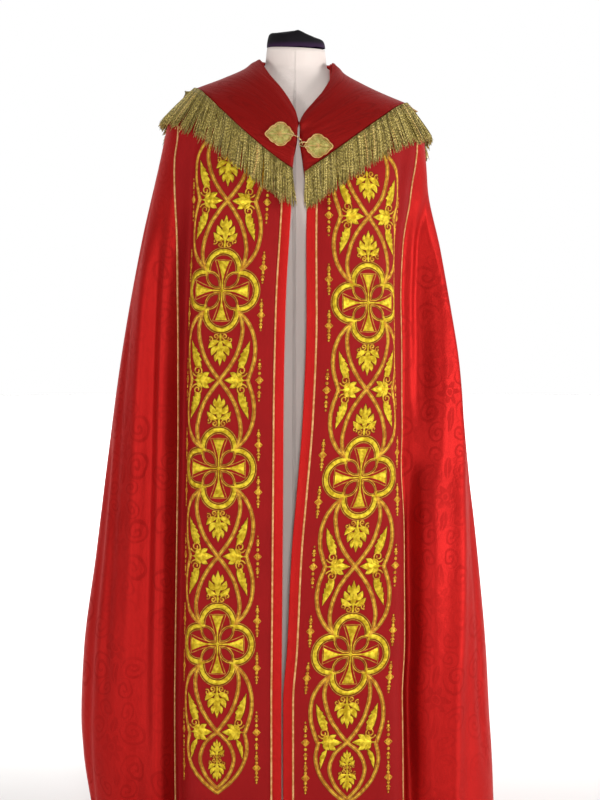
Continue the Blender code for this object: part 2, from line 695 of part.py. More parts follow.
def hood_grid():
    """The hood's outer face, from the left front edge round the back to the right front edge."""
    left = hood_side_grid(LEFT)
    right = hood_side_grid(RIGHT)
    grid = np.concatenate([left, right[:, ::-1][:, 1:]], axis=1)
    return grid + outward_normals(grid) * HOOD_WALL


def build_hood(damask, collection):
    grid = hood_grid()
    normals = outward_normals(grid)
    return cloth("hood", grid, normals, 0.0, HOOD_WALL, damask, collection, inwards=True)


# ---------------------------------------------------------------- the fringe
def fringe_sections():
    """Points, normals and down directions along the hood's lower edge, at both sides of each lock.

    Down is square to the edge, in the plane of the cloth.
    """
    grid = hood_grid()
    low = grid[-1]
    normals = outward_normals(grid)[-1]
    downs = np.cross(np.gradient(low, axis=0), normals)
    downs *= np.sign(np.sum(downs * (low - grid[-2]), axis=1))[:, None]
    downs /= np.linalg.norm(downs, axis=1, keepdims=True)
    arc = np.concatenate([[0.0], np.cumsum(np.linalg.norm(np.diff(low, axis=0), axis=1))])
    pitch = arc[-1] / (LOCK_COUNT - 1 + LOCK_SHARE)
    starts = np.arange(LOCK_COUNT) * pitch
    wanted = np.sort(np.concatenate([starts, starts + LOCK_SHARE * pitch]))
    point, normal, down = (
        np.stack([np.interp(wanted, arc, field[:, i]) for i in range(3)], axis=1)
        for field in (low, normals, downs)
    )
    normal /= np.linalg.norm(normal, axis=1, keepdims=True)
    down /= np.linalg.norm(down, axis=1, keepdims=True)
    return point, normal, down


def header_rings():
    """Four corners of the header at each section: upper inner, upper outer, lower outer, lower inner."""
    point, normal, down = fringe_sections()
    inner, outer = -HEADER_WALL, 0.0
    upper = point + down * HEADER_GAP
    lower = upper + down * HEADER_HEIGHT
    corners = (upper + normal * inner, upper + normal * outer)
    corners += (lower + normal * outer, lower + normal * inner)
    return np.stack(corners, axis=1)


def lock_tip(root, length):
    """Where a lock that hangs from root ends: straight down, or further out over the mantle."""
    side = RIGHT if root[0] > 0 else LEFT
    angle = math.atan2(abs(root[0]), -root[1])
    low_level = root[2] - length
    for _ in range(4):
        tip = lifted_point(side, angle, low_level, LOCK_STANDOFF)
        low_level += root[2] - length - tip[2]
    reach = max(np.hypot(tip[0], tip[1]), np.hypot(root[0], root[1]))
    return np.array([side * reach * math.sin(angle), -reach * math.cos(angle), root[2] - length])


def build_fringe(thread, collection):
    obj = loft("fringe", header_rings(), thread, collection, closed=True)
    bm = bmesh.new()
    bm.from_mesh(obj.data)
    bm.faces.ensure_lookup_table()
    corners = 4
    roots = [bm.faces[corners * 2 * lock + 2] for lock in range(LOCK_COUNT)]
    bmesh.ops.recalc_face_normals(bm, faces=bm.faces)
    for number, end in enumerate(roots):
        centre = np.array(end.calc_center_median())
        length = LOCK_LENGTH * (1 + 0.05 * math.sin(2.4 * number))
        last = 1.0
        for share in (LOCK_BEND, 1.0):
            end = bmesh.ops.extrude_discrete_faces(bm, faces=[end])["faces"][0]
            width = 1 - (1 - LOCK_TIP_SHARE) * share
            place = Vector(lock_tip(centre, length * share))
            middle = end.calc_center_median()
            for vert in end.verts:
                vert.co = place + (vert.co - middle) * width / last
            last = width
    bm.to_mesh(obj.data)
    bm.free()


# ---------------------------------------------------------------- the clasp
def leaf_reach(angle):
    """Radius of the leaf's outline at an angle from its tip."""
    length = LEAF_TIP if math.cos(angle) > 0 else LEAF_STEM
    along, across = abs(math.cos(angle)) / length, abs(math.sin(angle)) / LEAF_HALF_HEIGHT
    reach = (along**LEAF_SQUARENESS + across**LEAF_SQUARENESS) ** (-1 / LEAF_SQUARENESS)
    return reach - LEAF_SCALLOP_DEPTH * (1 - abs(math.cos(angle * LEAF_SCALLOPS / 2)))


def build_leaf(leaf, surface, thread, collection):
    """A plate on the hood, with its points cast back on the hood's outer face."""
    turn = math.radians(leaf.turn)
    bm = bmesh.new()
    bmesh.ops.create_circle(bm, cap_ends=True, cap_tris=True, segments=LEAF_POINTS, radius=1.0)
    if LEAF_RINGS > 1:
        spokes = [edge for edge in bm.edges if min(v.co.length for v in edge.verts) < 0.5]
        bmesh.ops.subdivide_edges(bm, edges=spokes, cuts=LEAF_RINGS - 1, use_grid_fill=True)
    for vert in bm.verts:
        angle = math.atan2(vert.co.y, vert.co.x)
        reach = leaf_reach(angle) * vert.co.length
        x = leaf.x + reach * math.cos(angle + turn)
        z = leaf.z + reach * math.sin(angle + turn)
        hit = surface.ray_cast(Vector((x, -1.0, z)), Vector((0.0, 1.0, 0.0)))[0]
        vert.co = (x, hit.y - LEAF_GAP, z)
    mesh = bpy.data.meshes.new(leaf.name)
    bm.to_mesh(mesh)
    bm.free()
    obj = add_object(leaf.name, mesh, thread, collection)
    face_outwards(obj, np.tile((0.0, -1.0, 0.0), (len(mesh.vertices), 1)))
    thickness = obj.modifiers.new("Wall", "SOLIDIFY")
    thickness.thickness = LEAF_WALL
    thickness.offset = 1.0


def wire(name, points, finish, collection):
    """A bent wire through points."""
    curve = bpy.data.curves.new(name, "CURVE")
    curve.dimensions = "3D"
    curve.bevel_depth = WIRE_RADIUS
    curve.bevel_resolution = 1
    curve.render_resolution_u = 0
    curve.use_fill_caps = True
    spline = curve.splines.new("POLY")
    spline.points.add(len(points) - 1)
    for point, place in zip(spline.points, points):
        point.co = (*place, 1.0)
    curve.materials.append(finish)
    obj = bpy.data.objects.new(name, curve)
    collection.objects.link(obj)


def wire_places(table, surface):
    """Places of a wire that stands off the hood by each row's lift. Over the opening it keeps the
    last row's face."""
    places = []
    for row in table:
        hit = surface.ray_cast(Vector((row.x, -1.0, row.z)), Vector((0.0, 1.0, 0.0)))[0]
        face = hit.y if hit and hit.y < 0 else face
        places.append((row.x, face - row.lift, row.z))
    return places


def build_clasp(hood, thread, brass, collection):
    """The leaves, and the hook of the left one in the eye of the right one."""
    evaluated = hood.evaluated_get(bpy.context.evaluated_depsgraph_get())
    mesh = evaluated.to_mesh()
    surface = BVHTree.FromPolygons(
        [vert.co.copy() for vert in mesh.vertices], [tuple(face.vertices) for face in mesh.polygons]
    )
    for leaf in CLASP_LEAVES:
        build_leaf(leaf, surface, thread, collection)
    wire("clasp_hook", wire_places(HOOK, surface), brass, collection)
    wire("clasp_eye", wire_places(EYE, surface), brass, collection)


# ---------------------------------------------------------------- build
def main():
    clear_scene()
    collection = bpy.data.collections.new("cope_on_display_form")
    bpy.context.scene.collection.children.link(collection)
    damask = material("red_damask", RED_DAMASK, 0.45)
    satin = material("red_satin", RED_SATIN, 0.55)
    braid = material("gold_braid", GOLD_BRAID, 0.40, 0.3)
    thread = material("gold_thread", GOLD_THREAD, 0.45, 0.5)
    jersey = material("form_jersey", FORM_JERSEY, 0.85)
    black = material("cap_black", CAP_BLACK, 0.80)
    brass = material("brass", BRASS, 0.30, 1.0)
    build_form(jersey, black, collection)
    build_mantle(damask, collection)
    build_orphreys(satin, braid, collection)
    hood = build_hood(damask, collection)
    build_fringe(thread, collection)
    build_clasp(hood, thread, brass, collection)


main()
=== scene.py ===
"""Looks of the cope on its display form: fine cloth shells, embroidery, bullion fringe and clasp.

Metres, +Z up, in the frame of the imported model: the origin is on the floor under the form, +X is to
the viewer's right, and the cope opens towards -Y. The cloth follows the same level curves as its
solids, on finer grids, with creases added. LEFT and RIGHT are the viewer's.
"""

import math
from collections import namedtuple

import bpy
import numpy as np
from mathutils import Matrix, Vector
from mathutils.bvhtree import BVHTree


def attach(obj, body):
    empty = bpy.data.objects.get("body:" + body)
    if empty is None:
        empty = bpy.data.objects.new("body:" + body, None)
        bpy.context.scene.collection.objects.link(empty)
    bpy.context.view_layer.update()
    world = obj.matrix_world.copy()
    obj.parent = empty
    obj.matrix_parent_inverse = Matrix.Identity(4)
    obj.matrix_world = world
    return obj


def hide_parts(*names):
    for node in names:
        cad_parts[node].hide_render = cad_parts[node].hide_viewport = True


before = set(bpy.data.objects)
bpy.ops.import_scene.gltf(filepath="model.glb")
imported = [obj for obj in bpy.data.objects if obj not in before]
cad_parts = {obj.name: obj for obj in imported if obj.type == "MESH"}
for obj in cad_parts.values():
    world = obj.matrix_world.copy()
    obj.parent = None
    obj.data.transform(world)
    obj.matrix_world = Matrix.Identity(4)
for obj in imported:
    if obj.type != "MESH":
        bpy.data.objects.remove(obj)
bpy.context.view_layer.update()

LEFT, RIGHT = -1, 1
SIDES = ((LEFT, "left"), (RIGHT, "right"))


def rows_of(kind, rows):
    """A table: each row as a named tuple of its kind."""
    return tuple(kind(*row) for row in rows)


# ---------------------------------------------------------------- the garment's driving sizes
NECK_LEVEL = 1.548
HEM_LEVEL = 0.030
SEAM_GAP = 0.0011
LAYER_GAP = 0.0007
MANTLE_WALL = 0.0022
ORPHREY_WALL = 0.0012
HOOD_WALL = 0.0022

EDGE_STRIP = 0.018
BRAID_WIDTH = 0.004
ORPHREY_WIDTH = 0.231
ORPHREY_TOP = 1.440
SEAM_ANGLE = 97.0
SEAM_NECK_ANGLE = 130.0
SEAM_TURN_LEVEL = 1.42
SEAM_COLUMN = 0.004
SHOULDER_ARC = 0.310

SHOULDER_LEAN = 0.045
LEAN_FULL_LEVEL = 1.35
LEAN_NO_LEVEL = 0.90

# Powers of the superellipse that the mantle's front half follows.
Squareness = namedtuple("Squareness", "level left right")
FRONT_SQUARENESS = rows_of(Squareness, (
    (1.548, 2.70, 2.70),
    (1.400, 2.70, 2.70),
    (1.300, 2.70, 1.80),
    (1.180, 2.70, 1.45),
    (0.765, 2.60, 1.45),
    (0.560, 2.60, 2.20),
    (0.030, 2.70, 2.70),
))
BACK_SQUARENESS = 2.15

# How far the unfolded mantle reaches from the form's axis.
Section = namedtuple("Section", "level left right front back")
MANTLE_SECTIONS = rows_of(Section, (
    (1.548, 0.074, 0.074, 0.058, 0.068),
    (1.526, 0.095, 0.088, 0.072, 0.086),
    (1.501, 0.142, 0.132, 0.088, 0.104),
    (1.478, 0.194, 0.186, 0.101, 0.118),
    (1.464, 0.223, 0.220, 0.109, 0.127),
    (1.445, 0.243, 0.243, 0.119, 0.136),
    (1.415, 0.257, 0.256, 0.131, 0.147),
    (1.370, 0.267, 0.261, 0.142, 0.160),
    (1.300, 0.283, 0.268, 0.153, 0.177),
    (1.180, 0.311, 0.288, 0.163, 0.200),
    (0.970, 0.351, 0.320, 0.174, 0.235),
    (0.765, 0.380, 0.346, 0.183, 0.264),
    (0.560, 0.406, 0.369, 0.191, 0.291),
    (0.360, 0.432, 0.387, 0.199, 0.314),
    (0.230, 0.4375, 0.394, 0.205, 0.327),
    (0.155, 0.433, 0.399, 0.208, 0.334),
    (0.030, 0.414, 0.404, 0.213, 0.345),
))

# x of the two front edges, and how far their strips are tucked in.
Opening = namedtuple("Opening", "level left right tuck")
OPENING = rows_of(Opening, (
    (1.548, -0.0690, 0.0690, 0.000),
    (1.520, -0.0540, 0.0680, 0.000),
    (1.488, -0.0270, 0.0530, 0.000),
    (1.464, -0.0110, 0.0340, 0.000),
    (1.440, 0.0010, 0.0150, 0.002),
    (1.425, 0.0035, 0.0085, 0.004),
    (1.395, 0.0030, 0.0070, 0.008),
    (1.340, -0.0060, 0.0140, 0.013),
    (1.266, -0.0090, 0.0230, 0.016),
    (1.060, -0.0203, 0.0230, 0.013),
    (0.851, -0.0242, 0.0144, 0.006),
    (0.697, -0.0250, 0.0012, 0.002),
    (0.580, -0.0260, -0.0088, 0.000),
    (0.389, -0.0275, -0.0179, 0.000),
    (0.288, -0.0285, -0.0255, 0.000),
    (0.030, -0.0285, -0.0255, 0.000),
))
TUCK_WIDTH = 0.040

# Inward folds. In front a place is an arc from the front edge.
FoldPlace = namedtuple("FoldPlace", "level place width depth")
FRONT_FOLDS = (
    (LEFT, rows_of(FoldPlace, (
        (1.46, 0.200, 0.018, 0.000),
        (1.40, 0.205, 0.018, 0.008),
        (1.30, 0.207, 0.018, 0.016),
        (1.18, 0.208, 0.019, 0.028),
        (0.97, 0.210, 0.020, 0.040),
        (0.78, 0.212, 0.021, 0.045),
        (0.03, 0.214, 0.022, 0.047),
    ))),
    (LEFT, rows_of(FoldPlace, (
        (1.30, 0.262, 0.014, 0.000),
        (1.18, 0.265, 0.014, 0.003),
        (0.78, 0.275, 0.017, 0.008),
        (0.03, 0.300, 0.020, 0.016),
    ))),
    (RIGHT, rows_of(FoldPlace, (
        (1.42, 0.215, 0.016, 0.000),
        (1.36, 0.210, 0.014, 0.006),
        (1.28, 0.205, 0.012, 0.010),
        (1.18, 0.203, 0.011, 0.012),
        (0.97, 0.203, 0.011, 0.011),
        (0.80, 0.205, 0.012, 0.004),
        (0.62, 0.205, 0.015, 0.000),
    ))),
    (RIGHT, rows_of(FoldPlace, (
        (1.38, 0.245, 0.034, 0.000),
        (1.28, 0.250, 0.042, 0.022),
        (1.18, 0.252, 0.048, 0.044),
        (1.05, 0.252, 0.050, 0.056),
        (0.90, 0.250, 0.042, 0.054),
        (0.78, 0.246, 0.028, 0.048),
        (0.62, 0.249, 0.022, 0.048),
        (0.30, 0.258, 0.022, 0.042),
        (0.03, 0.264, 0.026, 0.044),
    ))),
)

# Behind, a place is a share of the way from the side seam to the centre back, at the top and the hem.
Fold = namedtuple("Fold", "side start top hem top_width hem_width top_depth hem_depth")
BACK_FOLDS = rows_of(Fold, (
    (LEFT, 1.25, 0.20, 0.16, 0.024, 0.032, 0.004, 0.056),
    (LEFT, 1.12, 0.38, 0.37, 0.026, 0.034, 0.003, 0.076),
    (LEFT, 1.20, 0.58, 0.58, 0.030, 0.040, 0.007, 0.086),
    (LEFT, 1.02, 0.80, 0.81, 0.028, 0.036, 0.004, 0.062),
    (RIGHT, 1.20, 0.19, 0.17, 0.024, 0.032, 0.004, 0.060),
    (RIGHT, 1.16, 0.37, 0.35, 0.026, 0.034, 0.006, 0.082),
    (RIGHT, 1.06, 0.60, 0.57, 0.030, 0.042, 0.003, 0.066),
    (RIGHT, 1.22, 0.79, 0.78, 0.030, 0.038, 0.007, 0.080),
))
FOLD_TOP_LEVEL = 1.38
FOLD_FADE = 0.12

# Creases, which the solids leave out. A place is an arc from the front edge or, behind the side
# seam, a share of the way to the centre back. A depth less than zero is a ridge.
Crease = namedtuple("Crease", "side behind top bottom top_place bottom_place width depth")
CREASES = rows_of(Crease, (
    (LEFT, False, 1.26, 0.03, 0.299, 0.298, 0.021, -0.0065),
    (LEFT, False, 1.24, 0.03, 0.246, 0.249, 0.012, -0.0042),
    (LEFT, False, 1.20, 0.10, 0.273, 0.269, 0.013, 0.0052),
    (LEFT, False, 1.12, 0.20, 0.345, 0.372, 0.013, 0.0045),
    (LEFT, False, 0.86, 0.03, 0.392, 0.430, 0.016, 0.0060),
    (LEFT, False, 1.38, 1.05, 0.325, 0.345, 0.013, 0.0035),
    (RIGHT, False, 1.30, 0.60, 0.272, 0.250, 0.0120, -0.0050),
    (RIGHT, False, 1.34, 0.66, 0.302, 0.284, 0.0200, 0.0190),
    (RIGHT, False, 1.34, 0.72, 0.325, 0.372, 0.0150, -0.0085),
    (RIGHT, False, 0.86, 0.03, 0.368, 0.345, 0.0200, -0.0110),
    (RIGHT, False, 0.80, 0.04, 0.266, 0.270, 0.0140, 0.0170),
    (RIGHT, False, 0.74, 0.10, 0.405, 0.438, 0.0140, 0.0055),
    (LEFT, True, 1.05, 0.30, 0.090, 0.075, 0.016, 0.0060),
    (LEFT, True, 0.80, 0.03, 0.280, 0.270, 0.015, -0.0050),
    (LEFT, True, 0.95, 0.22, 0.480, 0.475, 0.016, 0.0070),
    (LEFT, True, 0.66, 0.03, 0.700, 0.695, 0.014, 0.0060),
    (LEFT, True, 0.88, 0.10, 0.930, 0.935, 0.015, 0.0060),
    (RIGHT, True, 1.02, 0.25, 0.080, 0.070, 0.015, 0.0060),
    (RIGHT, True, 0.72, 0.03, 0.265, 0.262, 0.014, 0.0060),
    (RIGHT, True, 0.98, 0.34, 0.470, 0.462, 0.016, -0.0060),
    (RIGHT, True, 0.60, 0.03, 0.690, 0.680, 0.015, 0.0070),
    (RIGHT, True, 0.84, 0.14, 0.900, 0.905, 0.014, 0.0060),
))
CREASE_FADE = 0.16

# The form below its shoulders, which follow the mantle's, and then its neck and cap.
FormSection = namedtuple("FormSection", "height side front back")
FORM_SECTIONS = rows_of(FormSection, (
    (0.000, 0.178, 0.120, 0.130),
    (0.012, 0.184, 0.126, 0.136),
    (0.300, 0.180, 0.124, 0.136),
    (0.700, 0.176, 0.120, 0.140),
    (0.880, 0.174, 0.114, 0.140),
    (1.080, 0.154, 0.104, 0.108),
    (1.200, 0.166, 0.116, 0.114),
    (1.300, 0.184, 0.126, 0.128),
    (1.370, 0.204, 0.122, 0.130),
))
FORM_CLEARANCE = 0.0024
FORM_SHOULDER_INSET = 0.013
FORM_SHOULDER_LEVELS = (1.400, 1.440, 1.464, 1.480, 1.498, 1.516, 1.533)
NECK_SECTIONS = rows_of(FormSection, (
    (1.541, 0.0620, 0.0520, 0.0580),
    (1.560, 0.0600, 0.0540, 0.0570),
    (1.5765, 0.0580, 0.0540, 0.0560),
))
CAP_SECTIONS = rows_of(FormSection, (
    (1.5770, 0.0585, 0.0545, 0.0565),
    (1.5800, 0.0586, 0.0546, 0.0566),
    (1.5960, 0.0567, 0.0532, 0.0548),
    (1.6060, 0.0538, 0.0507, 0.0522),
    (1.6105, 0.0500, 0.0472, 0.0486),
    (1.6125, 0.0440, 0.0415, 0.0428),
))
FORM_SQUARENESS = 2.15

# Levels of the hood's front tip and shoulder, and how its lower edge bows between them.
HoodSide = namedtuple("HoodSide", "tip shoulder bow")
HOOD_SIDES = {LEFT: HoodSide(1.333, 1.480, 1.15), RIGHT: HoodSide(1.327, 1.470, 1.0)}
HOOD_SHOULDER_ROUNDING = 0.009
HOOD_BACK_START = 0.15
HOOD_BACK_LEVEL = 1.160
HOOD_BACK_POWER = 1.50
HOOD_LIFT_SEAM = 0.0026
HOOD_LIFT_NECK = 0.0070
HOOD_LIFT_EDGE = 0.0098
HOOD_SEAM_SHARE = 0.18
HOOD_V_LEVEL = 1.425
HOOD_NECK_POWER = 0.8
HOOD_FIGURE_SHIFT = 0.035
HOOD_COLUMN_POWER = 1.25
HOOD_ROW_POWER = 1.35

HEADER_GAP = 0.0014
HEADER_HEIGHT = 0.0085
HEADER_WALL = 0.0026
LOCK_LENGTH = 0.066
LOCK_STANDOFF = 0.0145

# The clasp's leaves: the place of each one's middle, and the turn of its tip in degrees.
Leaf = namedtuple("Leaf", "name x z turn")
CLASP_LEAVES = (
    Leaf("clasp_leaf_left", -0.0290, 1.4015, 180.0),
    Leaf("clasp_leaf_right", 0.0412, 1.3780, -2.0),
)
LEAF_TIP = 0.0310
LEAF_STEM = 0.0240
LEAF_HALF_HEIGHT = 0.0240
LEAF_SQUARENESS = 1.35
LEAF_SCALLOPS = 10
LEAF_SCALLOP_DEPTH = 0.0016
LEAF_GAP = 0.0009

# ---------------------------------------------------------------- how finely the shells are made
SHOULDER_STEP = 0.0030      # between two levels above ORPHREY_TOP
LEVEL_STEP = 0.0080         # and below it
STRIP_COLUMNS = 5
ORPHREY_COLUMNS = 48
FRONT_SIDE_COLUMNS = 60
COLUMNS_PER_FOLD = 22
HOOD_COLUMNS_FRONT = 46
HOOD_COLUMNS_BACK = 56
HOOD_ROWS = 42
FORM_COLUMNS = 96
STRAND_COUNT = 2300
OUTLINE_POINTS = 900
OVERLAP_ANGLE = -0.5        # where outlines start, since a front edge may lie past the centre


# ---------------------------------------------------------------- curves and outlines
def cubic(t, start, end, start_slope, end_slope):
    """The cubic from start to end that has those slopes at its ends, at shares t of the way."""
    return (
        start * (1 + 2 * t) * (1 - t) ** 2
        + end * (3 - 2 * t) * t**2
        + start_slope * t * (1 - t) ** 2
        + end_slope * t**2 * (t - 1)
    )


def unit(rows):
    """Rows scaled to length one."""
    return rows / np.maximum(np.linalg.norm(rows, axis=-1, keepdims=True), 1e-12)


def lengths_along(points):
    """How far along its line each point lies."""
    return np.concatenate([[0.0], np.cumsum(np.linalg.norm(np.diff(points, axis=0), axis=1))])


def arcs_along(x, y):
    """The same for a flat line of x and y."""
    return np.concatenate([[0.0], np.cumsum(np.hypot(np.diff(x), np.diff(y)))])


def smooth_through(rows, column, level):
    """A smooth curve through one column of a table whose rows run down in level, with no overshoot."""
    known = np.array([[row[0], getattr(row, column)] for row in rows], float)
    if known[0, 0] > known[-1, 0]:
        known = known[::-1]
    x, y = known[:, 0], known[:, 1]
    steps = np.diff(x)
    slopes = np.diff(y) / steps
    tangents = np.zeros(len(x))
    same_way = slopes[:-1] * slopes[1:] > 0
    mean = 2 * slopes[:-1] * slopes[1:] / np.where(same_way, slopes[:-1] + slopes[1:], 1)
    tangents[1:-1] = np.where(same_way, mean, 0)
    tangents[0], tangents[-1] = slopes[0], slopes[-1]
    level = np.clip(np.asarray(level, float), x[0], x[-1])
    i = np.clip(np.searchsorted(x, level) - 1, 0, len(x) - 2)
    t = (level - x[i]) / steps[i]
    return cubic(t, y[i], y[i + 1], steps[i] * tangents[i], steps[i] * tangents[i + 1])


def smooth_step(t):
    t = np.clip(t, 0.0, 1.0)
    return t * t * (3 - 2 * t)


def oval(angle, side_reach, front_reach, back_reach, front_power, back_power):
    """(x, y) of a half oval, with the angle from the front centre round to the back centre."""
    sine, cosine = np.abs(np.sin(angle)), np.abs(np.cos(angle))
    ahead = np.cos(angle) > 0
    depth = np.where(ahead, front_reach, back_reach)
    power = np.where(ahead, front_power, back_power)
    radius = ((sine / side_reach) ** power + (cosine / depth) ** power) ** (-1 / power)
    return radius * np.sin(angle), -radius * np.cos(angle)


def mantle_outline(side, level, angle):
    """The unfolded mantle at a level: x as seen from that side (positive outwards), and y."""
    column = "left" if side == LEFT else "right"
    reach = smooth_through(MANTLE_SECTIONS, column, level)
    front = smooth_through(MANTLE_SECTIONS, "front", level)
    back = smooth_through(MANTLE_SECTIONS, "back", level)
    return oval(angle, reach, front, back, smooth_through(FRONT_SQUARENESS, column, level), BACK_SQUARENESS)


def leaned(x, level):
    """Height of a point at a level: the shoulders slope down towards +X."""
    share = smooth_step((level - LEAN_NO_LEVEL) / (LEAN_FULL_LEVEL - LEAN_NO_LEVEL))
    return level - SHOULDER_LEAN * share * x


def edge_reach(side, level):
    """The front edge's x at a level, positive outwards for that side."""
    return side * smooth_through(OPENING, "left" if side == LEFT else "right", level)


def half_outline(side, level):
    """Dense points of one side's unfolded outline, its arcs from the front edge, and their angles."""
    angle = np.linspace(OVERLAP_ANGLE, math.pi, OUTLINE_POINTS)
    x, y = mantle_outline(side, level, angle)
    peak = np.argmax(x)
    start = np.interp(edge_reach(side, level), x[: peak + 1], angle[: peak + 1])
    angle = np.linspace(start, math.pi, OUTLINE_POINTS)
    x, y = mantle_outline(side, level, angle)
    return x, y, arcs_along(x, y), angle


def seam_angle(level):
    """The side seam's angle, which runs back towards the neck on the shoulder."""
    turned = smooth_step((level - SEAM_TURN_LEVEL) / (NECK_LEVEL - SEAM_TURN_LEVEL))
    return math.radians(SEAM_ANGLE + (SEAM_NECK_ANGLE - SEAM_ANGLE) * turned)


def front_fold_places(side, level):
    """Each front fold of a side at a level: its arc, its width and its depth."""
    columns = ("place", "width", "depth")
    mine = [rows for fold_side, rows in FRONT_FOLDS if fold_side == side]
    return [[smooth_through(rows, column, level) for column in columns] for rows in mine]


def fold_places(folds, side, level, start=0.0, scale=1.0):
    """Each fold of a side at a level: its arc, its width and its depth."""
    t = (FOLD_TOP_LEVEL - level) / (FOLD_TOP_LEVEL - HEM_LEVEL)
    places = []
    for fold in folds:
        if fold.side == side:
            opened = smooth_step((fold.start - level) / FOLD_FADE)
            place = start + scale * (fold.top + (fold.hem - fold.top) * t)
            width = fold.top_width + (fold.hem_width - fold.top_width) * t
            depth = max(0.0, fold.top_depth + (fold.hem_depth - fold.top_depth) * t)
            places.append((place, width, depth * opened))
    return places


def crease_places(side, level, seam, half):
    """Each crease of a side at a level, as fold_places gives the folds."""
    places = []
    for crease in CREASES:
        if crease.side == side:
            t = (crease.top - level) / (crease.top - crease.bottom)
            opened = smooth_step((crease.top - level) / CREASE_FADE)
            if crease.bottom > HEM_LEVEL:
                opened = opened * smooth_step((level - crease.bottom) / CREASE_FADE)
            place = crease.top_place + (crease.bottom_place - crease.top_place) * t
            if crease.behind:
                place = seam + (half - seam) * place
            places.append((place, crease.width, crease.depth * opened))
    return places


def mantle_curve(side, level):
    """Dense points of one side of the folded mantle at a level, with the arcs along the cloth and
    along the unfolded outline, and the side seam's place on the latter."""
    x, y, arc, angle = half_outline(side, level)
    seam = np.interp(seam_angle(level), angle, arc)
    other_arc, other_angle = half_outline(-side, level)[2:]
    other_seam = np.interp(seam_angle(level), other_angle, other_arc)
    folds = front_fold_places(side, level)
    folds += fold_places(BACK_FOLDS, side, level, seam, arc[-1] - seam)
    around = arc[-1] + other_arc[-1] - other_seam
    folds += fold_places(BACK_FOLDS, -side, level, around, other_seam - other_arc[-1])
    folds += crease_places(side, level, seam, arc[-1])
    depth = smooth_through(OPENING, "tuck", level) * np.exp(-((arc / TUCK_WIDTH) ** 2))
    for place, width, deep in folds:
        depth = depth + deep * np.exp(-(((arc - place) / width) ** 2))
    along = np.stack([np.gradient(x, arc), np.gradient(y, arc)])
    x, y = x - depth * along[1], y + depth * along[0]
    return x, y, arcs_along(x, y), arc, seam


def mantle_levels():
    """Levels of the mantle's rows, from the neck down to the hem."""
    above = np.arange(NECK_LEVEL, ORPHREY_TOP, -SHOULDER_STEP)
    count = round((ORPHREY_TOP - HEM_LEVEL) / LEVEL_STEP) + 1
    return np.concatenate([above, np.linspace(ORPHREY_TOP, HEM_LEVEL, count)])


def mantle_rows(side, arcs_of):
    """The mantle's points over all levels at the cloth arcs that arcs_of gives, and those arcs."""
    points, arcs = [], []
    for level in mantle_levels():
        x, y, cloth_arc, arc, seam = mantle_curve(side, level)
        wanted = arcs_of(side, level, cloth_arc, arc, seam)
        px = side * np.interp(wanted, cloth_arc, x)
        points.append(np.stack([px, np.interp(wanted, cloth_arc, y), leaned(px, level)], axis=1))
        arcs.append(wanted)
    return np.array(points), np.array(arcs)


def front_arcs(_, level, cloth_arc, arc, seam):
    """Arcs of a front panel's columns: edge strip, orphrey, then the side as far as the seam."""
    strip = np.linspace(0.0, EDGE_STRIP, STRIP_COLUMNS, endpoint=False)
    field = EDGE_STRIP + np.linspace(0.0, ORPHREY_WIDTH, ORPHREY_COLUMNS + 1)
    fixed = np.concatenate([strip, field])
    last = np.interp(seam, arc, cloth_arc) - SEAM_GAP / 2
    if level > ORPHREY_TOP:
        fixed *= (last - SEAM_COLUMN) / SHOULDER_ARC
    rest = np.linspace(fixed[-1], last - SEAM_COLUMN, FRONT_SIDE_COLUMNS)[1:]
    return np.concatenate([fixed, rest, [last]])


def back_arcs(side, level, cloth_arc, arc, seam):
    """Arcs of one half of the back panel, whose columns run down the folds."""
    centres = [place[0] for place in fold_places(BACK_FOLDS, side, level, seam, arc[-1] - seam)]
    stops = [seam, *centres, arc[-1]]
    unfolded = []
    for start, end in zip(stops[:-1], stops[1:]):
        unfolded.extend(np.linspace(start, end, COLUMNS_PER_FOLD, endpoint=False))
    wanted = np.interp([*unfolded, arc[-1]], arc, cloth_arc)
    return np.concatenate([[wanted[0] + SEAM_GAP / 2], wanted[1:-1], [wanted[-1] - SEAM_GAP / 2]])


def outward_normals(grid):
    """Unit normals of a grid of points, away from the wearer."""
    down = np.gradient(grid, axis=0)
    across = np.gradient(grid, axis=1)
    normal = unit(np.cross(across, down))
    return normal if np.sum(normal[..., :2] * grid[..., :2]) > 0 else -normal


# ---------------------------------------------------------------- meshes
def new_object(name, vertices, faces, finishes, uvs=None, slots=None):
    """A smooth-shaded mesh; uvs has a pair for each vertex, and slots a material for each face."""
    mesh = bpy.data.meshes.new(name)
    mesh.from_pydata(np.asarray(vertices).tolist(), [], faces)
    for finish in finishes:
        mesh.materials.append(finish)
    if uvs is not None:
        layer = mesh.uv_layers.new(name="UVMap")
        corners = np.zeros(len(mesh.loops), int)
        mesh.loops.foreach_get("vertex_index", corners)
        layer.data.foreach_set("uv", np.asarray(uvs, float)[corners].ravel())
    if slots is not None:
        mesh.polygons.foreach_set("material_index", slots)
    mesh.shade_smooth()
    obj = bpy.data.objects.new(name, mesh)
    bpy.context.scene.collection.objects.link(obj)
    return obj


def grid_faces(rows, columns, flip=False, closed=False):
    """Faces between the rows and columns of points; a closed grid joins its last column to its first."""
    faces = []
    around = columns if closed else columns - 1
    for r in range(rows - 1):
        for c in range(around):
            right = (c + 1) % columns
            face = (r * columns + c, r * columns + right, (r + 1) * columns + right, (r + 1) * columns + c)
            faces.append(face[::-1] if flip else face)
    return faces


def closed_faces(rings, corners):
    """Faces of a closed tube, with its two ends."""
    faces = grid_faces(rings, corners, closed=True)
    faces.append(tuple(reversed(range(corners))))
    faces.append(tuple((rings - 1) * corners + c for c in range(corners)))
    return faces


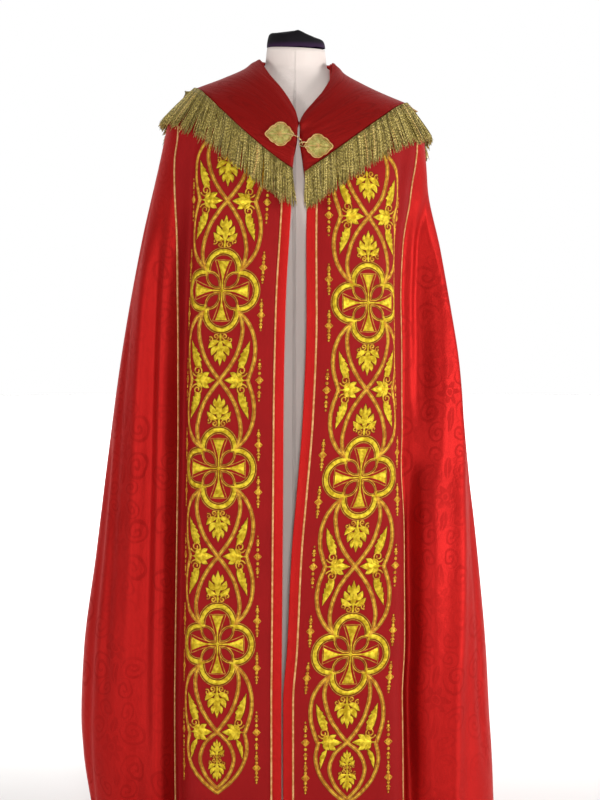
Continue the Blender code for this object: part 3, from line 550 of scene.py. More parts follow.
def faces_look_out(grid, normals):
    """Whether the faces that grid_faces makes look along the given normals."""
    r, c = grid.shape[0] // 2, grid.shape[1] // 2
    side = np.cross(grid[r, c + 1] - grid[r, c], grid[r + 1, c] - grid[r, c])
    return side @ normals[r, c] > 0


def cloth_shell(name, grid, normals, wall, finish, uvs):
    """A thin shell whose outer face is the grid."""
    rows, columns = grid.shape[:2]
    flip = not faces_look_out(grid, normals)
    faces = grid_faces(rows, columns, flip)
    obj = new_object(name, grid.reshape(-1, 3), faces, [finish], uvs.reshape(-1, 2))
    thickness = obj.modifiers.new("Wall", "SOLIDIFY")
    thickness.thickness = wall
    thickness.offset = -1.0
    return obj


def dress(obj, slot, *nodes):
    """Lets a piece ride on the one body and stand for its nodes; the slot is not used."""
    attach(obj, "root")
    if nodes:
        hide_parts(*nodes)
    return obj


class Surface:
    """A grid of points with normals over (arc, level), which can be read between its points."""

    def __init__(self, grid, normals, arcs, levels):
        self.grid, self.normals = grid, normals
        self.arcs, self.levels = arcs, levels

    def at(self, arc, level, lift):
        """Points at arcs and levels, moved out by lift."""
        arc, level = np.asarray(arc, float), np.asarray(level, float)
        column = np.interp(arc, self.arcs, np.arange(len(self.arcs)))
        row = np.interp(-level, -self.levels, np.arange(len(self.levels)))
        c = np.clip(column.astype(int), 0, len(self.arcs) - 2)
        r = np.clip(row.astype(int), 0, len(self.levels) - 2)
        a, b = (column - c)[:, None], (row - r)[:, None]

        def between(field):
            upper = field[r, c] * (1 - a) + field[r, c + 1] * a
            lower = field[r + 1, c] * (1 - a) + field[r + 1, c + 1] * a
            return upper * (1 - b) + lower * b

        lift = np.broadcast_to(lift, len(arc))[:, None]
        return between(self.grid) + unit(between(self.normals)) * lift


# ---------------------------------------------------------------- finishes
class Value:
    """A value in a shader, whose arithmetic makes the nodes that work it out."""

    def __init__(self, finish, socket):
        self.finish, self.socket = finish, socket

    def __add__(self, other):
        return self.finish.math("ADD", self, other)

    def __sub__(self, other):
        return self.finish.math("SUBTRACT", self, other)

    def __rsub__(self, other):
        return self.finish.math("SUBTRACT", other, self)

    def __mul__(self, other):
        return self.finish.math("MULTIPLY", self, other)

    def __truediv__(self, other):
        return self.finish.math("DIVIDE", self, other)

    def __abs__(self):
        return self.finish.math("ABSOLUTE", self)

    def scaled(self, factor, start):
        """Start, plus a factor of the value."""
        return self.finish.math("MULTIPLY_ADD", self, factor, start)

    def half_up(self):
        """A value from -1 to 1, moved into 0 to 1."""
        return self.scaled(0.5, 0.5)

    def wave(self, pitch):
        """A sine that repeats at every pitch."""
        return self.finish.math("SINE", self * (2 * math.pi / pitch))

    def step(self, low, high):
        """0 below low and 1 above high, smooth in between."""
        return self.finish.ranged(self, "SMOOTHSTEP", "From", low, high)

    def spread(self, low, high):
        """A value from 0 to 1, spread over low to high."""
        return self.finish.ranged(self, "LINEAR", "To", low, high)


class Finish:
    """A material whose shader nodes are made by short calls."""

    def __init__(self, name, **settings):
        self.material = bpy.data.materials.new(name)
        self.material.use_nodes = True
        self.tree = self.material.node_tree
        self.shader = self.tree.nodes["Principled BSDF"]
        for key, value in settings.items():
            self.shader.inputs[key.replace("_", " ")].default_value = value

    def node(self, kind, *values, **settings):
        """A new node, whose first inputs take the values."""
        made = self.tree.nodes.new(kind)
        for key, value in settings.items():
            setattr(made, key, value)
        for value, socket in zip(values, made.inputs):
            self.put(value, socket)
        return made

    def put(self, value, socket):
        """Links a shader value to a socket, or sets the socket to a number or a tuple."""
        if isinstance(value, Value):
            self.tree.links.new(value.socket, socket)
        else:
            socket.default_value = value

    def values(self, node):
        """The values that a node gives."""
        return [Value(self, socket) for socket in node.outputs]

    def math(self, operation, *inputs):
        return self.values(self.node("ShaderNodeMath", *inputs, operation=operation))[0]

    def vector(self, x, y):
        return self.values(self.node("ShaderNodeCombineXYZ", x, y, 0.0))[0]

    def parts(self, vector):
        return self.values(self.node("ShaderNodeSeparateXYZ", vector))

    def uv(self):
        """The two UV coordinates, in metres along the cloth."""
        place = self.values(self.node("ShaderNodeUVMap", uv_map="UVMap"))[0]
        return self.parts(place)[:2]

    def place(self):
        """The place in the object's own axes, in metres."""
        return Value(self, self.node("ShaderNodeTexCoord").outputs["Object"])

    def noise(self, vector, scale, detail=2.0, rough=0.5):
        made = self.node("ShaderNodeTexNoise")
        for key, value in (("Vector", vector), ("Scale", scale), ("Detail", detail), ("Roughness", rough)):
            self.put(value, made.inputs[key])
        return self.values(made)[0]

    def ranged(self, value, kind, ends, low, high):
        made = self.node("ShaderNodeMapRange", interpolation_type=kind)
        for key, start in (("Value", value), (f"{ends} Min", low), (f"{ends} Max", high)):
            self.put(start, made.inputs[key])
        return self.values(made)[0]

    def mix(self, share, first, second):
        """One colour passing into another as the share goes from 0 to 1."""
        made = self.node("ShaderNodeMix", share, data_type="RGBA")
        for colour, socket in ((first, made.inputs[6]), (second, made.inputs[7])):
            self.put((*colour, 1.0) if isinstance(colour, tuple) else colour, socket)
        return Value(self, made.outputs[2])

    def bump(self, height, depth, below=None):
        """Raises the surface by a height from 0 to 1, times a depth in metres."""
        made = self.node("ShaderNodeBump")
        made.inputs["Distance"].default_value = depth
        self.put(height, made.inputs["Height"])
        if below is not None:
            self.put(below, made.inputs["Normal"])
        return self.values(made)[0]

    def done(self, colour=None, roughness=None, normal=None):
        for value, key in ((colour, "Base Color"), (roughness, "Roughness"), (normal, "Normal")):
            if value is not None:
                self.put(value, self.shader.inputs[key])
        return self.material


def weave(u, v, pitch):
    """Height from 0 to 1 of a plain weave whose threads are a pitch apart."""
    return (u.wave(pitch) * v.wave(pitch)).half_up()


def dimmed(colour, share):
    """A colour at a share of its brightness."""
    return tuple(share * c for c in colour)


DAMASK_WIDTH = 0.150        # one repeat of the woven figure, whose columns are half a drop apart
DAMASK_HEIGHT = 0.200
FIGURE_EDGE = 0.0007
PETALS = 6.0
PETAL_RADIUS, PETAL_SWING = 0.0205, 0.0065
EYE_RADIUS, EYE_LINE = 0.0085, 0.0016
COILS = ((0.0430, 0.0400, 0.0290, 0.0150), (0.0250, 0.0790, 0.0200, 0.0120))     # x, y, radius, pitch
COIL_EDGES = (0.22, 0.16)
FIGURE_LEAF_MIDDLE = 0.0500
FIGURE_LEAF_LENGTH, FIGURE_LEAF_WIDTH = 0.0210, 0.0085      # half of each
SWAY_SCALE, SWAY = 13.0, 0.030


def damask_figure(finish, u, v):
    """Where the damask's woven figure is: rosettes, leaves and pairs of spiral scrolls."""
    column = finish.math("FLOOR", u / DAMASK_WIDTH)
    drop = column.scaled(0.5, v / DAMASK_HEIGHT)
    x = abs((finish.math("FRACT", u / DAMASK_WIDTH) - 0.5) * DAMASK_WIDTH)
    y = abs((finish.math("FRACT", drop) - 0.5) * DAMASK_HEIGHT)

    def polar(cx, cy):
        dx, dy = x - cx, y - cy
        return finish.math("SQRT", dx * dx + dy * dy), finish.math("ARCTAN2", dy, dx)

    def inside(gap):
        """1 where a gap to an outline is more than nothing."""
        return gap.step(-FIGURE_EDGE, FIGURE_EDGE)

    radius, turn = polar(0.0, 0.0)
    petals = finish.math("COSINE", turn * PETALS).scaled(PETAL_SWING, PETAL_RADIUS)
    figures = [inside(petals - radius) - inside(EYE_LINE - abs(radius - EYE_RADIUS))]
    for cx, cy, size, pitch in COILS:
        radius, turn = polar(cx, cy)
        coil = finish.math("FRACT", turn / (2 * math.pi) + radius / pitch)
        figures.append(abs(coil - 0.5).step(*COIL_EDGES) * inside(size - radius))
    along, across = (y - FIGURE_LEAF_MIDDLE) / FIGURE_LEAF_LENGTH, x / FIGURE_LEAF_WIDTH
    leaf = 1.0 - (along * along + across * across)
    figures.append(leaf.step(-0.1, 0.1) * x.step(0.0005, 0.0014))
    figure = figures[0]
    for other in figures[1:]:
        figure = finish.math("MAXIMUM", figure, other)
    return figure


Damask = namedtuple("Damask", "name dark light contrast shine")
MANTLE_DAMASK = Damask("red_damask", (0.400, 0.0080, 0.0080), (0.510, 0.0150, 0.0130), 0.22, 0.50)
# The hood's copy is darker than the mantle's: partly a darker cloth, partly painted shade, since the hood
# slopes up away from the lamps.
HOOD_DAMASK = Damask("red_damask_hood", (0.230, 0.0056, 0.0050), (0.300, 0.0076, 0.0066), 0.20, 0.25)


def damask_finish(name, dark, light, contrast, shine):
    """Satin-faced red damask, whose woven figure is duller than its shining ground; the figure's darker
    colour is painted shade, standing for the sheen that it lacks.
    """
    finish = Finish(
        name, Metallic=shine, Sheen_Weight=0.06, Sheen_Roughness=0.4, Sheen_Tint=(1.0, 0.10, 0.07, 1.0),
        Specular_IOR_Level=0.20, Specular_Tint=(1.0, 0.40, 0.35, 1.0),
    )
    u, v = finish.uv()
    flat = finish.vector(u, v)
    sway = finish.node("ShaderNodeTexNoise", flat, noise_dimensions="2D")
    sway.inputs["Scale"].default_value = SWAY_SCALE
    shift = finish.values(finish.node("ShaderNodeSeparateColor", Value(finish, sway.outputs["Color"])))
    figure = damask_figure(finish, shift[0].scaled(SWAY, u), shift[1].scaled(SWAY, v))
    patch = finish.noise(flat, 5.0).step(0.30, 0.62)
    off_strip = abs(u).step(EDGE_STRIP, EDGE_STRIP + 0.004)
    figure = figure * (patch * off_strip)
    wear = finish.noise(flat, 9.0, 3.0)
    colour = finish.mix(wear, dark, light)
    # The figure is darkened in colour: painted shade for the sheen that the duller figure lacks beside the
    # ground.
    colour = finish.mix(figure * contrast, colour, dimmed(dark, 0.42))
    colour = finish.mix(finish.noise(flat, 60.0).spread(0.0, 0.25), colour, dimmed(dark, 0.6))
    rough = wear.scaled(0.08, figure.scaled(0.50 * contrast, 0.44))
    normal = finish.bump(weave(u, v, 0.0009), 0.00006)
    normal = finish.bump(figure, 0.0005 * contrast, normal)
    normal = finish.bump(finish.noise(flat, 34.0, 3.0, 0.6), 0.0016, normal)
    return finish.done(colour, rough, normal)


def satin_finish():
    """The plain darker cloth of the orphreys."""
    finish = Finish(
        "red_satin", Sheen_Weight=0.08, Sheen_Roughness=0.4, Sheen_Tint=(1.0, 0.10, 0.08, 1.0),
        Specular_IOR_Level=0.25, Specular_Tint=(1.0, 0.35, 0.30, 1.0),
    )
    u, v = finish.uv()
    flat = finish.vector(u, v)
    streaks = finish.noise(finish.vector(u * 8.0, v), 30.0, 3.0)
    colour = finish.mix(finish.noise(flat, 14.0), (0.250, 0.0055, 0.0070), (0.345, 0.0080, 0.0095))
    colour = finish.mix(streaks.spread(0.0, 0.30), colour, (0.20, 0.0035, 0.0060))
    normal = finish.bump((u + v).wave(0.0011).half_up(), 0.00007)
    normal = finish.bump(finish.noise(flat, 26.0), 0.0012, normal)
    return finish.done(colour, streaks.scaled(0.14, 0.56), normal)


# thread_shade is how far the colour is darkened in stripes along the laid threads: painted shade of the
# threads' relief.
Thread = namedtuple("Thread", "name dark light pitch rough metallic spark")
THREADS = {thread.name: thread for thread in rows_of(Thread, (
    ("gold_braid", (0.60, 0.26, 0.085), (0.86, 0.50, 0.22), 0.0024, 0.38, 0.35, 0.45),
    ("gold_satin_stitch", (0.56, 0.36, 0.012), (0.95, 0.74, 0.050), 0.0007, 0.32, 0.55, 0.30),
    ("gold_cord", (0.46, 0.19, 0.025), (0.80, 0.44, 0.070), 0.0012, 0.34, 0.50, 0.40),
    ("gold_amber_thread", (0.58, 0.22, 0.022), (0.94, 0.60, 0.060), 0.0008, 0.32, 0.50, 0.30),
    ("gold_leaf_thread", (0.36, 0.31, 0.080), (0.60, 0.54, 0.170), 0.0010, 0.36, 0.40, 0.40),
    ("gold_leaf_cord", (0.62, 0.36, 0.10), (0.88, 0.60, 0.26), 0.0016, 0.32, 0.45, 0.45),
))}


def thread_finish(name):
    """Metallic thread laid across a stroke; u runs along the stroke and v from edge to edge."""
    _, dark, light, pitch, rough, metallic, thread_shade = THREADS[name]
    finish = Finish(
        name, Metallic=metallic, Specular_IOR_Level=0.35, Specular_Tint=(1.0, 0.80, 0.35, 1.0)
    )
    u, v = finish.uv()
    thread = u.wave(pitch).half_up()
    glint = finish.noise(finish.vector(u * 900.0, v * 2.0), 1.0)
    colour = finish.mix(finish.noise(finish.place(), 130.0).step(0.35, 0.65), dark, light)
    # Painted shade: the colour darkens in stripes at each thread's pitch.
    colour = finish.mix(thread.spread(0.0, thread_shade), colour, dimmed(dark, 0.35))
    normal = finish.bump(glint, 0.0004, finish.bump(thread, 0.00016))
    return finish.done(colour, glint.scaled(0.22, rough), normal)


def outline_and_shadow_finish():
    """Dull brown thread round the gold shapes, which also paints their shadow on the cloth."""
    finish = Finish("outline_thread_and_painted_shadow", Roughness=0.85, Specular_IOR_Level=0.05)
    cloud = finish.noise(finish.place(), 300.0)
    return finish.done(finish.mix(cloud, (0.100, 0.014, 0.005), (0.190, 0.042, 0.010)))


BULLION_STOPS = (
    (0.00, (0.100, 0.070, 0.014)),
    (0.22, (0.280, 0.210, 0.040)),
    (0.55, (0.500, 0.390, 0.090)),
    (0.80, (0.800, 0.640, 0.210)),
    (0.92, (0.900, 0.620, 0.200)),
    (1.00, (0.660, 0.300, 0.100)),
)


def bullion_finish():
    """Twisted metallic cord: u tells one strand from the next, and v runs down it."""
    finish = Finish("gold_bullion", Metallic=0.45, Specular_IOR_Level=0.6)
    u, v = finish.uv()
    ramp = finish.node("ShaderNodeValToRGB", u)
    while len(ramp.color_ramp.elements) < len(BULLION_STOPS):
        ramp.color_ramp.elements.new(0.5)
    for element, (place, colour) in zip(ramp.color_ramp.elements, BULLION_STOPS):
        element.position = place
        element.color = (*colour, 1.0)
    cloud = finish.noise(finish.place(), 90.0)
    rate = u.scaled(700.0, 600.0)
    start = u.scaled(90.0, cloud.spread(0.0, 14.0))
    twist = finish.math("SINE", v.scaled(rate, start)).half_up()
    # Painted shade: the grooves of the twist are darkened in colour.
    colour = finish.mix(twist.spread(0.70, 0.0), finish.values(ramp)[0], (0.065, 0.042, 0.010))
    colour = finish.mix(cloud.spread(0.0, 0.25), colour, (0.52, 0.42, 0.11))
    return finish.done(colour, cloud.scaled(0.2, 0.28), finish.bump(twist, 0.0009))


def jersey_finish():
    """The form's white knitted cover."""
    finish = Finish("form_jersey", Roughness=0.85, Sheen_Weight=0.2)
    u, v = finish.uv()
    flat = finish.vector(u, v)
    colour = finish.mix(finish.noise(flat, 7.0, 3.0), (0.76, 0.665, 0.62), (0.86, 0.775, 0.73))
    normal = finish.bump(weave(u, v, 0.0016), 0.00012)
    normal = finish.bump(finish.noise(flat, 12.0), 0.0020, normal)
    return finish.done(colour, None, normal)


def cap_finish():
    """Black cloth with a dark purple band at its foot."""
    finish = Finish("cap_black", Specular_IOR_Level=0.12)
    place = finish.place()
    cloud = finish.noise(place, 40.0, 3.0)
    colour = finish.mix(cloud, (0.004, 0.0035, 0.0045), (0.012, 0.010, 0.014))
    height, foot = finish.parts(place)[2], CAP_SECTIONS[0].height
    colour = finish.mix(height.step(foot + 0.014, foot + 0.004), colour, (0.030, 0.012, 0.040))
    normal = finish.bump(finish.noise(place, 600.0), 0.0002)
    return finish.done(colour, cloud.spread(0.65, 0.85), normal)


def brass_finish():
    """Worn brass."""
    finish = Finish("brass", Metallic=1.0)
    cloud = finish.noise(finish.place(), 120.0)
    colour = finish.mix(cloud, (0.62, 0.44, 0.17), (0.86, 0.70, 0.38))
    return finish.done(colour, cloud.spread(0.22, 0.42), finish.bump(cloud, 0.0002))


def floor_finish():
    """Plain pale floor."""
    finish = Finish("floor", Roughness=0.9)
    cloud = finish.noise(finish.place(), 3.0)
    return finish.done(finish.mix(cloud, (0.60, 0.60, 0.59), (0.63, 0.63, 0.62)))


# ---------------------------------------------------------------- the mantle and its orphreys
def cloth_uvs(arcs, levels):
    """Flat places on the cloth, in metres: along a level and down it."""
    return np.stack([arcs, np.repeat(levels[:, None], arcs.shape[1], axis=1)], axis=2)


def build_mantle(damask):
    """Both front panels and both halves of the back; gives the front panels' surfaces."""
    levels = mantle_levels()
    surfaces = {}
    pieces = {}
    for side, word in SIDES:
        for part, arcs_of in (("front", front_arcs), ("back", back_arcs)):
            grid, arcs = mantle_rows(side, arcs_of)
            normals = outward_normals(grid)
            name = f"mantle_{word}_{part}"
            uvs = cloth_uvs(side * arcs, levels)
            piece = cloth_shell(f"{name}_cloth", grid, normals, MANTLE_WALL, damask, uvs)
            pieces[word, part] = dress(piece, "red_damask", name)
            if part == "front":
                columns = slice(0, STRIP_COLUMNS + ORPHREY_COLUMNS + 1)
                rows = levels <= ORPHREY_TOP + 1e-9
                cut = grid[rows, columns], normals[rows, columns], arcs[rows, columns][0], levels[rows]
                surfaces[side] = Surface(*cut)
    return pieces, surfaces


def build_orphreys(surfaces, satin, braid):
    """The bands on the fronts, and the braids along their edges."""
    pieces, cords = {}, {LEFT: [], RIGHT: []}
    for side, word in SIDES:
        surface = surfaces[side]
        arcs = surface.arcs[STRIP_COLUMNS:]
        grid, normals = surface.grid[:, STRIP_COLUMNS:], surface.normals[:, STRIP_COLUMNS:]
        outer = grid + normals * (LAYER_GAP + ORPHREY_WALL)
        uvs = cloth_uvs(np.tile(side * arcs, (len(surface.levels), 1)), surface.levels)
        piece = cloth_shell(f"orphrey_{word}_cloth", outer, normals, ORPHREY_WALL, satin, uvs)
        pieces[side] = dress(piece, "red_satin", f"orphrey_{word}")
        for edge, start in (("inner", arcs[0]), ("outer", arcs[-1] - BRAID_WIDTH)):
            cord = build_braid(f"braid_{word}_{edge}_cord", surface, start, braid)
            cords[side].append(dress(cord, "gold_braid", f"braid_{word}_{edge}"))
    return pieces, cords


BRAID_PROFILE = ((0.0, 0.0), (0.08, 0.75), (0.30, 1.0), (0.50, 0.80), (0.70, 1.0), (0.92, 0.75), (1.0, 0.0))
BRAID_LIFT = LAYER_GAP + ORPHREY_WALL + 0.0002
BRAID_HEIGHT = 0.0014
BRAID_POINTS = 420


def build_braid(name, surface, start, finish):
    """A flat braid of two cords from the orphrey's top to its hem."""
    levels = np.linspace(ORPHREY_TOP, HEM_LEVEL, BRAID_POINTS)
    rows, uvs = [], []
    for across, height in BRAID_PROFILE:
        arc = np.full(len(levels), start + across * BRAID_WIDTH)
        rows.append(surface.at(arc, levels, BRAID_LIFT + BRAID_HEIGHT * height))
        uvs.append(np.stack([ORPHREY_TOP - levels, np.full(len(levels), 2 * across - 1)], axis=1))
    grid, uvs = np.array(rows), np.array(uvs)
    outwards = surface.at(np.full(len(levels), start), levels, 1.0) - grid[0]
    flip = not faces_look_out(grid, np.array([outwards] * len(grid)))
    faces = grid_faces(grid.shape[0], grid.shape[1], flip)
    return new_object(name, grid.reshape(-1, 3), faces, [finish], uvs.reshape(-1, 2))


# ---------------------------------------------------------------- the embroidery
REPEAT = 0.345              # from one medallion to the next
MEDALLION_LEVELS = {LEFT: 1.0930, RIGHT: 1.0730}    # the highest medallion that shows
MEDALLIONS = 3
DESIGN_ARC = {LEFT: EDGE_STRIP + 0.1235, RIGHT: EDGE_STRIP + 0.1160}    # its centre line
HALF = REPEAT / 2
STITCH_LIFT = LAYER_GAP + ORPHREY_WALL + 0.00015
STITCH_HEIGHT = 0.0012
FULL_HEIGHT_WIDTH = 0.0011  # the half width from which a stroke has its full height
LEAST_HEIGHT = 0.35         # the share of it that the thinnest stroke has
OUTLINE = 0.0010
OUTLINE_HEIGHT = 0.0004
CORD_WIDTH = 0.0017
CORD_HEIGHT = 0.0010
SATIN, CORD, AMBER, SHADE = 0, 1, 2, 3

# One quarter of what lies between a medallion and the crossing below it: (across, down).
INNER_STRAND = ((0.0360, 0.0370), (0.0445, 0.0540), (0.0480, 0.0740), (0.0440, 0.1000), (0.0340, 0.1270),
                (0.0190, 0.1500), (0.0000, HALF))
OUTER_STRAND = ((0.0365, 0.0390), (0.0560, 0.0560), (0.0700, 0.0790), (0.0765, 0.1080), (0.0740, 0.1380),
                (0.0670, 0.1590), (0.0620, HALF))


def through(points, count):
    """A smooth line through points, at even steps of its parameter."""
    points = np.asarray(points, float)
    knots = lengths_along(points)
    tangents = np.gradient(points, knots, axis=0)
    wanted = np.linspace(0.0, knots[-1], count)
    i = np.clip(np.searchsorted(knots, wanted) - 1, 0, len(knots) - 2)
    span = knots[i + 1] - knots[i]
    t = ((wanted - knots[i]) / span)[:, None]
    span = span[:, None]
    return cubic(t, points[i], points[i + 1], span * tangents[i], span * tangents[i + 1])


def arc_line(centre, radius, start, end, count):
    """An arc of a circle from start to end degrees, where 0 is across and 90 is down."""
    angle = np.radians(np.linspace(start, end, count))
    return np.stack([centre[0] + radius * np.cos(angle), centre[1] + radius * np.sin(angle)], axis=1)


def spiral_line(centre, radius, start, turns, count):
    """A spiral that winds in from a radius to a sixth of it."""
    t = np.linspace(0.0, 1.0, count)
    angle = math.radians(start) + 2 * math.pi * turns * t
    reach = radius * (1 - 0.84 * t)
    return np.stack([centre[0] + reach * np.cos(angle), centre[1] + reach * np.sin(angle)], axis=1)


def beside(line):
    """The unit direction square to a flat line, at each of its points."""
    along = unit(np.gradient(line, axis=0))
    return np.stack([-along[:, 1], along[:, 0]], axis=1)


class Needle:
    """Collects raised strokes of thread on one orphrey's surface."""

    PROFILE = ((-1.0, -0.25), (-0.62, 0.72), (0.0, 1.0), (0.62, 0.72), (1.0, -0.25))
    OUTLINE_PROFILE = ((-1.0, -0.25), (0.0, 1.0), (1.0, -0.25))

    def __init__(self, side, surface):
        self.side, self.surface, self.middle = side, surface, DESIGN_ARC[side]
        self.vertices, self.faces, self.uvs, self.slots = [], [], [], []
        self.level = 0.0
        self.flip_down = 1.0

    def stroke(self, line, width, slot=SATIN, height=STITCH_HEIGHT, skew=None):
        """A stroke along a line in (across, down) from the medallion, with half widths on both its
        sides; skew gives other half widths for the far side."""
        line = np.asarray(line, float) * (1.0, self.flip_down)
        count = len(line)
        near = np.broadcast_to(width, count)
        far = near if skew is None else np.broadcast_to(skew, count)
        across = beside(line) * self.flip_down
        length = lengths_along(line)
        first = sum(len(part) for part in self.vertices)
        thick = height * np.clip(np.minimum(near, far) / FULL_HEIGHT_WIDTH, LEAST_HEIGHT, 1.0)
        profile = self.OUTLINE_PROFILE if slot == SHADE else self.PROFILE
        for place, rise in profile:
            wide = near if place < 0 else far
            flat = line + across * (place * wide)[:, None]
            lift = STITCH_LIFT + rise * thick
            self.vertices.append(self.surface.at(self.middle + flat[:, 0], self.level - flat[:, 1], lift))
            self.uvs.append(np.stack([length, np.full(count, place)], axis=1))
        flip = self.side * self.flip_down > 0
        for face in grid_faces(len(profile), count, flip):
            self.faces.append(tuple(first + i for i in face))
            self.slots.append(slot)

    def edged(self, line, width, slot=SATIN, height=STITCH_HEIGHT, skew=None):
        """A stroke with a dark outline round it: brown outline thread and painted shadow of the raised
        stroke in one.
        """
        outer = None if skew is None else skew + OUTLINE
        self.stroke(line, width + OUTLINE, SHADE, OUTLINE_HEIGHT, outer)
        self.stroke(line, width, slot, height, skew)

    def corded(self, line, width, gap=0.0006, slot=SATIN):
        """A band with a cord along each edge, over a dark outline that is outline thread and painted shadow
        in one.
        """
        self.stroke(line, width + gap + CORD_WIDTH + OUTLINE / 2, SHADE, OUTLINE_HEIGHT)
        self.stroke(line, width, slot)
        line = np.asarray(line, float)
        for side in (-1, 1):
            edge = line + side * beside(line) * (width + gap + CORD_WIDTH / 2)
            self.stroke(edge, CORD_WIDTH / 2, CORD, CORD_HEIGHT)

    def leaf(self, line, widest, peak=0.5, count=18, teeth=0):
        """A pointed leaf along a line, widest at peak, with teeth along its far edge."""
        t = np.linspace(0.0, 1.0, count)
        rising, falling = t / peak, (t - peak) / (1 - peak)
        swell = np.where(t < peak, np.sin(rising * math.pi / 2), np.cos(falling * math.pi / 2))
        near = widest * np.maximum(swell, 0.04)
        toothed = near * (0.62 + 0.38 * np.abs(np.cos(t * teeth * math.pi)))
        self.edged(through(line, count), near, skew=toothed if teeth else near)


def turned_by(degrees):
    """The matrix that turns rows of (across, down) round the medallion's centre."""
    angle = math.radians(degrees)
    return np.array([[math.cos(angle), math.sin(angle)], [-math.sin(angle), math.cos(angle)]])


# The medallion, as (across, down) from its centre for the lobe and the arm that point across.
RING_CENTRE = (0.0405, 0.0)
RING_RADIUS = 0.0350
RING_REACH = 100            # degrees to each side of its middle
RING_WIDTH = 0.0050
RING_GAP = 0.0012
ARM_START, ARM_LENGTH = 0.0180, 0.0385
ARM_NARROW, ARM_FLARE, ARM_FLARE_POWER = 0.0014, 0.0122, 1.5
ARM_EDGE = ((0.0040, 0.0032), (0.0200, 0.0056), (0.0380, 0.0106), (0.0575, 0.0184))
ARM_END = ((0.0578, -0.0186), (0.0588, 0.0), (0.0578, 0.0186))
SPOKE = ((0.002, 0.0), (0.020, 0.0))
KNOT = ((0.0450, -0.0060), (0.0500, 0.0), (0.0450, 0.0060))
HUB_RADIUS = 0.0022


def petal_line(inset):
    """One edge of the petal between two arms, drawn in by an inset."""
    return through((
        (0.0060 + inset, 0.0), (0.0170, 0.0096 - inset), (0.0300, 0.0126 - inset),
        (0.0410, 0.0090 - inset), (0.0490 - inset, 0.0),
    ), 18)


def medallion(needle):
    """A quatrefoil ring round a cross with flared arms and four petal loops."""
    t = np.linspace(0.0, 1.0, 16)
    arm = np.stack([ARM_START + ARM_LENGTH * t, np.zeros(16)], axis=1)
    for degrees in (0, 90, 180, 270):
        spin = turned_by(degrees)
        centre = (np.array([RING_CENTRE]) @ spin)[0]
        ring = arc_line(centre, RING_RADIUS, degrees - RING_REACH, degrees + RING_REACH, 36)
        needle.corded(ring, RING_WIDTH, RING_GAP)

        needle.stroke(arm @ spin, ARM_NARROW + ARM_FLARE * t**ARM_FLARE_POWER)
        needle.stroke(np.array(SPOKE) @ spin, 0.0018)
        edge = through(ARM_EDGE, 14)
        for line in (edge * (1, -1), edge, np.array(ARM_END)):
            needle.stroke(line @ spin, CORD_WIDTH / 2, CORD, 0.0011)

        spin = turned_by(degrees + 45)
        for hand in (-1, 1):
            for inset, width, slot in ((0.0, 0.0013, AMBER), (0.0034, 0.0008, CORD)):
                needle.edged((petal_line(inset) * (1, hand)) @ spin, width, slot, 0.0013)
        needle.stroke(through(np.array(KNOT) @ spin, 8), 0.0028)
    needle.stroke(arc_line((0.0, 0.0), HUB_RADIUS, 0, 360, 14), HUB_RADIUS)


# Lobes of the palmette on one side, from its tip up: (across, down) of each midline and half width.
PALMETTE_LOBES = (
    (((0.002, 0.032), (0.0080, 0.039), (0.0100, 0.050)), 0.0052),
    (((0.002, 0.020), (0.0135, 0.026), (0.0190, 0.038)), 0.0066),
    (((0.002, 0.010), (0.0150, 0.0130), (0.0265, 0.0240)), 0.0064),
)


PALMETTE_BLADE = ((0, 0.002), (0, 0.026), (0, 0.058))
PALMETTE_RIB = ((0, 0.006), (0, 0.050))
PALMETTE_FOOT = ((0, -0.006), (0, 0.001), (0, 0.009))
RIB_HEIGHT = 0.0018
VEIN_HEIGHT = 0.0016
Curl = namedtuple("Curl", "across down radius start turns points width")
PALMETTE_CURLS = rows_of(Curl, (
    (0.0100, 0.0010, 0.0060, 90, 1.2, 18, 0.0016),
    (0.0215, 0.0070, 0.0056, -60, -1.1, 16, 0.0014),
))


def palmette(needle, base, size=1.0):
    """A palmette that points down from its base, with side lobes and two pairs of curls."""
    def at(points, hand=1):
        return [(hand * size * a, base + size * d) for a, d in points]

    needle.leaf(at(PALMETTE_BLADE), 0.0080 * size)
    for hand in (-1, 1):
        for lobe, wide in PALMETTE_LOBES:
            needle.leaf(at(lobe, hand), wide * size, count=14)
        for lobe, wide in PALMETTE_LOBES:
            needle.stroke(through(at(lobe, hand), 8), 0.0005 * size, SHADE, VEIN_HEIGHT)
        for curl in PALMETTE_CURLS:
            centre = (hand * curl.across * size, base + curl.down * size)
            line = spiral_line(centre, curl.radius * size, curl.start, hand * curl.turns, curl.points)
            needle.edged(line, curl.width * size, AMBER)
    needle.stroke(at(PALMETTE_RIB), 0.0006 * size, SHADE, RIB_HEIGHT)
    needle.leaf(at(PALMETTE_FOOT), 0.0034 * size, count=8)


# Lobes of the leaf beside a crossing, on one side of its midline, in the same way.
CROSSING_LOBES = (
    (((0.0400, 0.0010), (0.0330, 0.0090), (0.0225, 0.0150)), 0.0058),
    (((0.0500, 0.0010), (0.0450, 0.0085), (0.0370, 0.0145)), 0.0052),
)


CROSSING_BLADE = (0.0560, 0.0330, 0.0105)
CROSSING_RIB = (0.0520, 0.0150)
CROSSING_STEM = (0.0500, 0.0660)


def crossing_leaf(needle, hand):
    """A lobed leaf that points at the crossing, on one side of it."""
    def level_line(places):
        return [(hand * a, HALF) for a in places]

    needle.leaf(level_line(CROSSING_BLADE), 0.0082)
    for down in (-1, 1):
        for lobe, wide in CROSSING_LOBES:
            line = [(hand * a, HALF + down * d) for a, d in lobe]
            needle.leaf(line, wide, count=12)
            needle.stroke(through(line, 7), 0.0004, SHADE, 0.0017)
    needle.stroke(level_line(CROSSING_RIB), 0.0005, SHADE, RIB_HEIGHT)
    needle.edged(level_line(CROSSING_STEM), 0.0014, AMBER)


